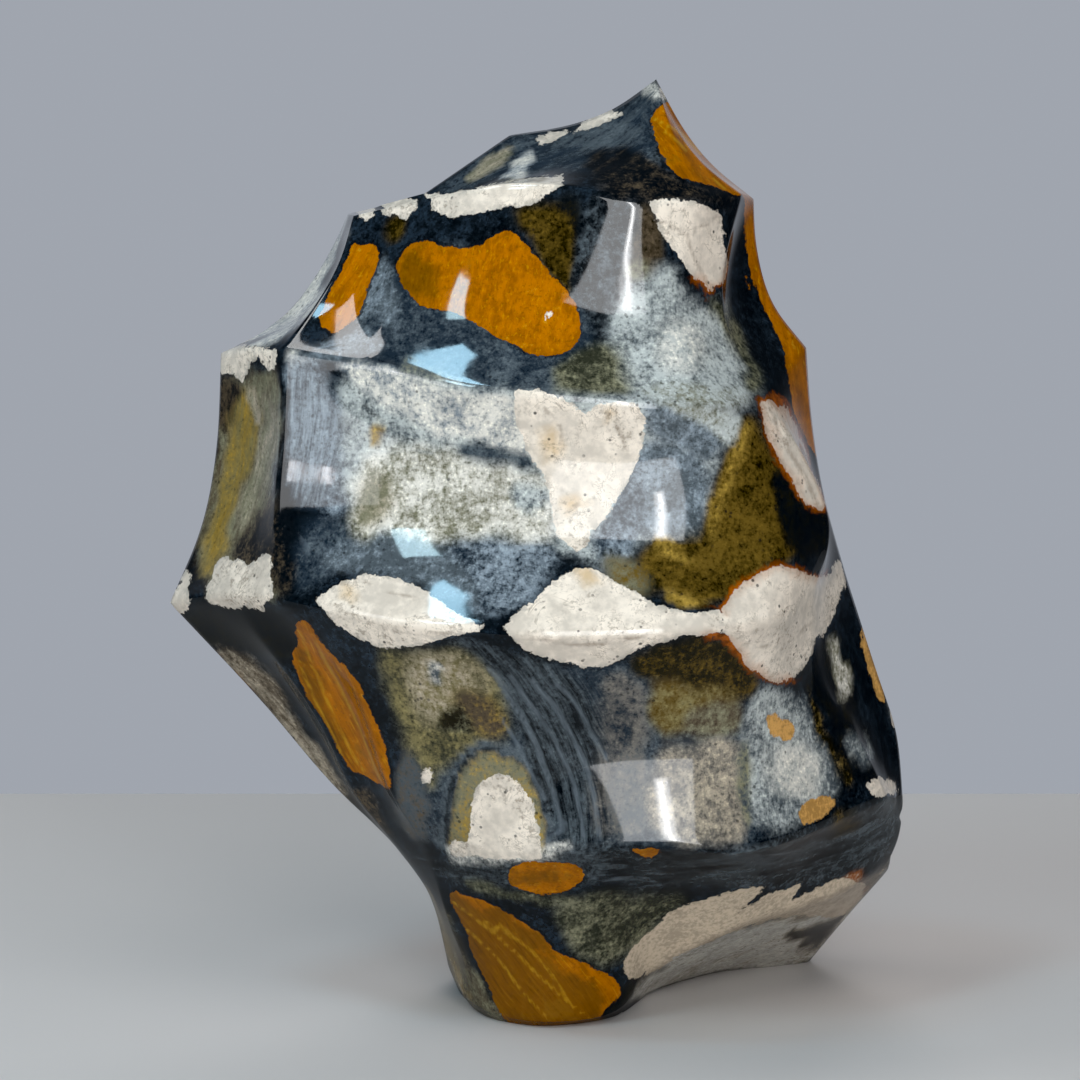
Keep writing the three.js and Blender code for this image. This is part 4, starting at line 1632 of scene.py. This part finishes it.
def add_softbox(name, azimuth, elevation, distance, width, height, radiance, colour):
    """An area light that faces the stone and that the camera doesn't see."""
    turn, rise = math.radians(azimuth), math.radians(elevation)
    away = Vector((math.sin(turn) * math.cos(rise), -math.cos(turn) * math.cos(rise), math.sin(rise)))
    bpy.ops.object.light_add(type="AREA", location=LIT_MIDDLE + away * distance)
    lamp = bpy.context.object
    lamp.name = name
    lamp.rotation_euler = (-away).to_track_quat("-Z", "Y").to_euler()
    lamp.visible_camera = False
    lamp.data.shape = "RECTANGLE"
    lamp.data.size = width
    lamp.data.size_y = height
    lamp.data.energy = radiance * math.pi * width * height
    lamp.data.color = colour
    return lamp


def make_room(scene, settings):
    """A room with a pale wall behind the stone, dimmer towards the camera."""
    world = bpy.data.worlds.new("room")
    scene.world = world
    world.use_nodes = True
    n = Nodes(world.node_tree)
    direction = n.add("ShaderNodeTexCoord").outputs["Generated"]
    parts = n.add("ShaderNodeSeparateXYZ", {0: direction}).outputs
    dim = scaled(settings.wall_colour, settings.room_brightness)
    rightward = n.math("MAXIMUM", parts["X"], 0.0)
    behind = n.step(n.add_up(parts["Y"], (rightward, -0.6)), 0.3, 0.75)
    room = n.mix(behind, dim, settings.wall_colour)
    room = n.mix(n.step(parts["Z"], 0.30, 0.62), room, dim)
    seen = n.add("ShaderNodeLightPath").outputs["Is Camera Ray"]
    background = world.node_tree.nodes["Background"]
    world.node_tree.links.new(
        n.mix(seen, room, tuple(settings.wall_colour)), background.inputs["Color"],
    )


class JASPER_OT_stage(bpy.types.Operator):
    """Makes the table, the room, the lights and the camera"""

    bl_idname = "jasper.stage"
    bl_label = "Stage"

    def execute(self, context):
        settings = context.scene.jasper_stage
        deselect_all()
        middle = (settings.table_back - settings.table_front) / 2
        bpy.ops.mesh.primitive_plane_add(size=1, location=(0, middle, 0))
        table = context.object
        table.name = "table_top"
        table.scale = (settings.table_length, settings.table_back + settings.table_front, 1)
        bpy.ops.object.transform_apply(location=True, scale=True)
        table.data.materials.append(table_material(settings))

        make_room(context.scene, settings)
        shown = context.scene.view_settings
        shown.view_transform = "Standard"
        shown.use_curve_mapping = True
        shown.curve_mapping.black_level = (settings.black_point,) * 3
        for name, values in SOFTBOXES.items():
            add_softbox(name, *values)
        for name, values in FILLS.items():
            add_softbox(name, *values).visible_glossy = False

        place, _, _, forward = camera_axes(SIDES["front"])
        bpy.ops.object.camera_add(location=place)
        camera = context.object
        camera.name = "camera"
        camera.rotation_euler = forward.to_track_quat("-Z", "Y").to_euler()
        camera.data.sensor_width = SENSOR_WIDTH
        camera.data.lens = FOCAL_PIXELS / PICTURE_SIDE * SENSOR_WIDTH
        context.scene.camera = camera
        return {"FINISHED"}


class JASPER_PT_panel(bpy.types.Panel):
    """Lists the stone's settings and its two build steps"""

    bl_idname = "JASPER_PT_panel"
    bl_label = "Jasper freeform"
    bl_space_type = "VIEW_3D"
    bl_region_type = "UI"
    bl_category = "Jasper"

    def draw(self, context):
        layout = self.layout
        for title, group, operator in (
            ("Stone", context.scene.jasper_stone, JASPER_OT_stone),
            ("Stage", context.scene.jasper_stage, JASPER_OT_stage),
        ):
            box = layout.box()
            box.label(text=title)
            for key in group.bl_rna.properties.keys():
                if key not in ("rna_type", "name"):
                    box.prop(group, key)
            box.operator(operator.bl_idname)


CLASSES = (StoneSettings, StageSettings, JASPER_OT_stone, JASPER_OT_stage, JASPER_PT_panel)


def register():
    for cls in CLASSES:
        bpy.utils.register_class(cls)
    bpy.types.Scene.jasper_stone = bpy.props.PointerProperty(type=StoneSettings)
    bpy.types.Scene.jasper_stage = bpy.props.PointerProperty(type=StageSettings)


def unregister():
    del bpy.types.Scene.jasper_stage
    del bpy.types.Scene.jasper_stone
    for cls in reversed(CLASSES):
        bpy.utils.unregister_class(cls)


def main():
    register()
    bpy.ops.jasper.stone()
    bpy.ops.jasper.stage()


if __name__ == "__main__":
    main()
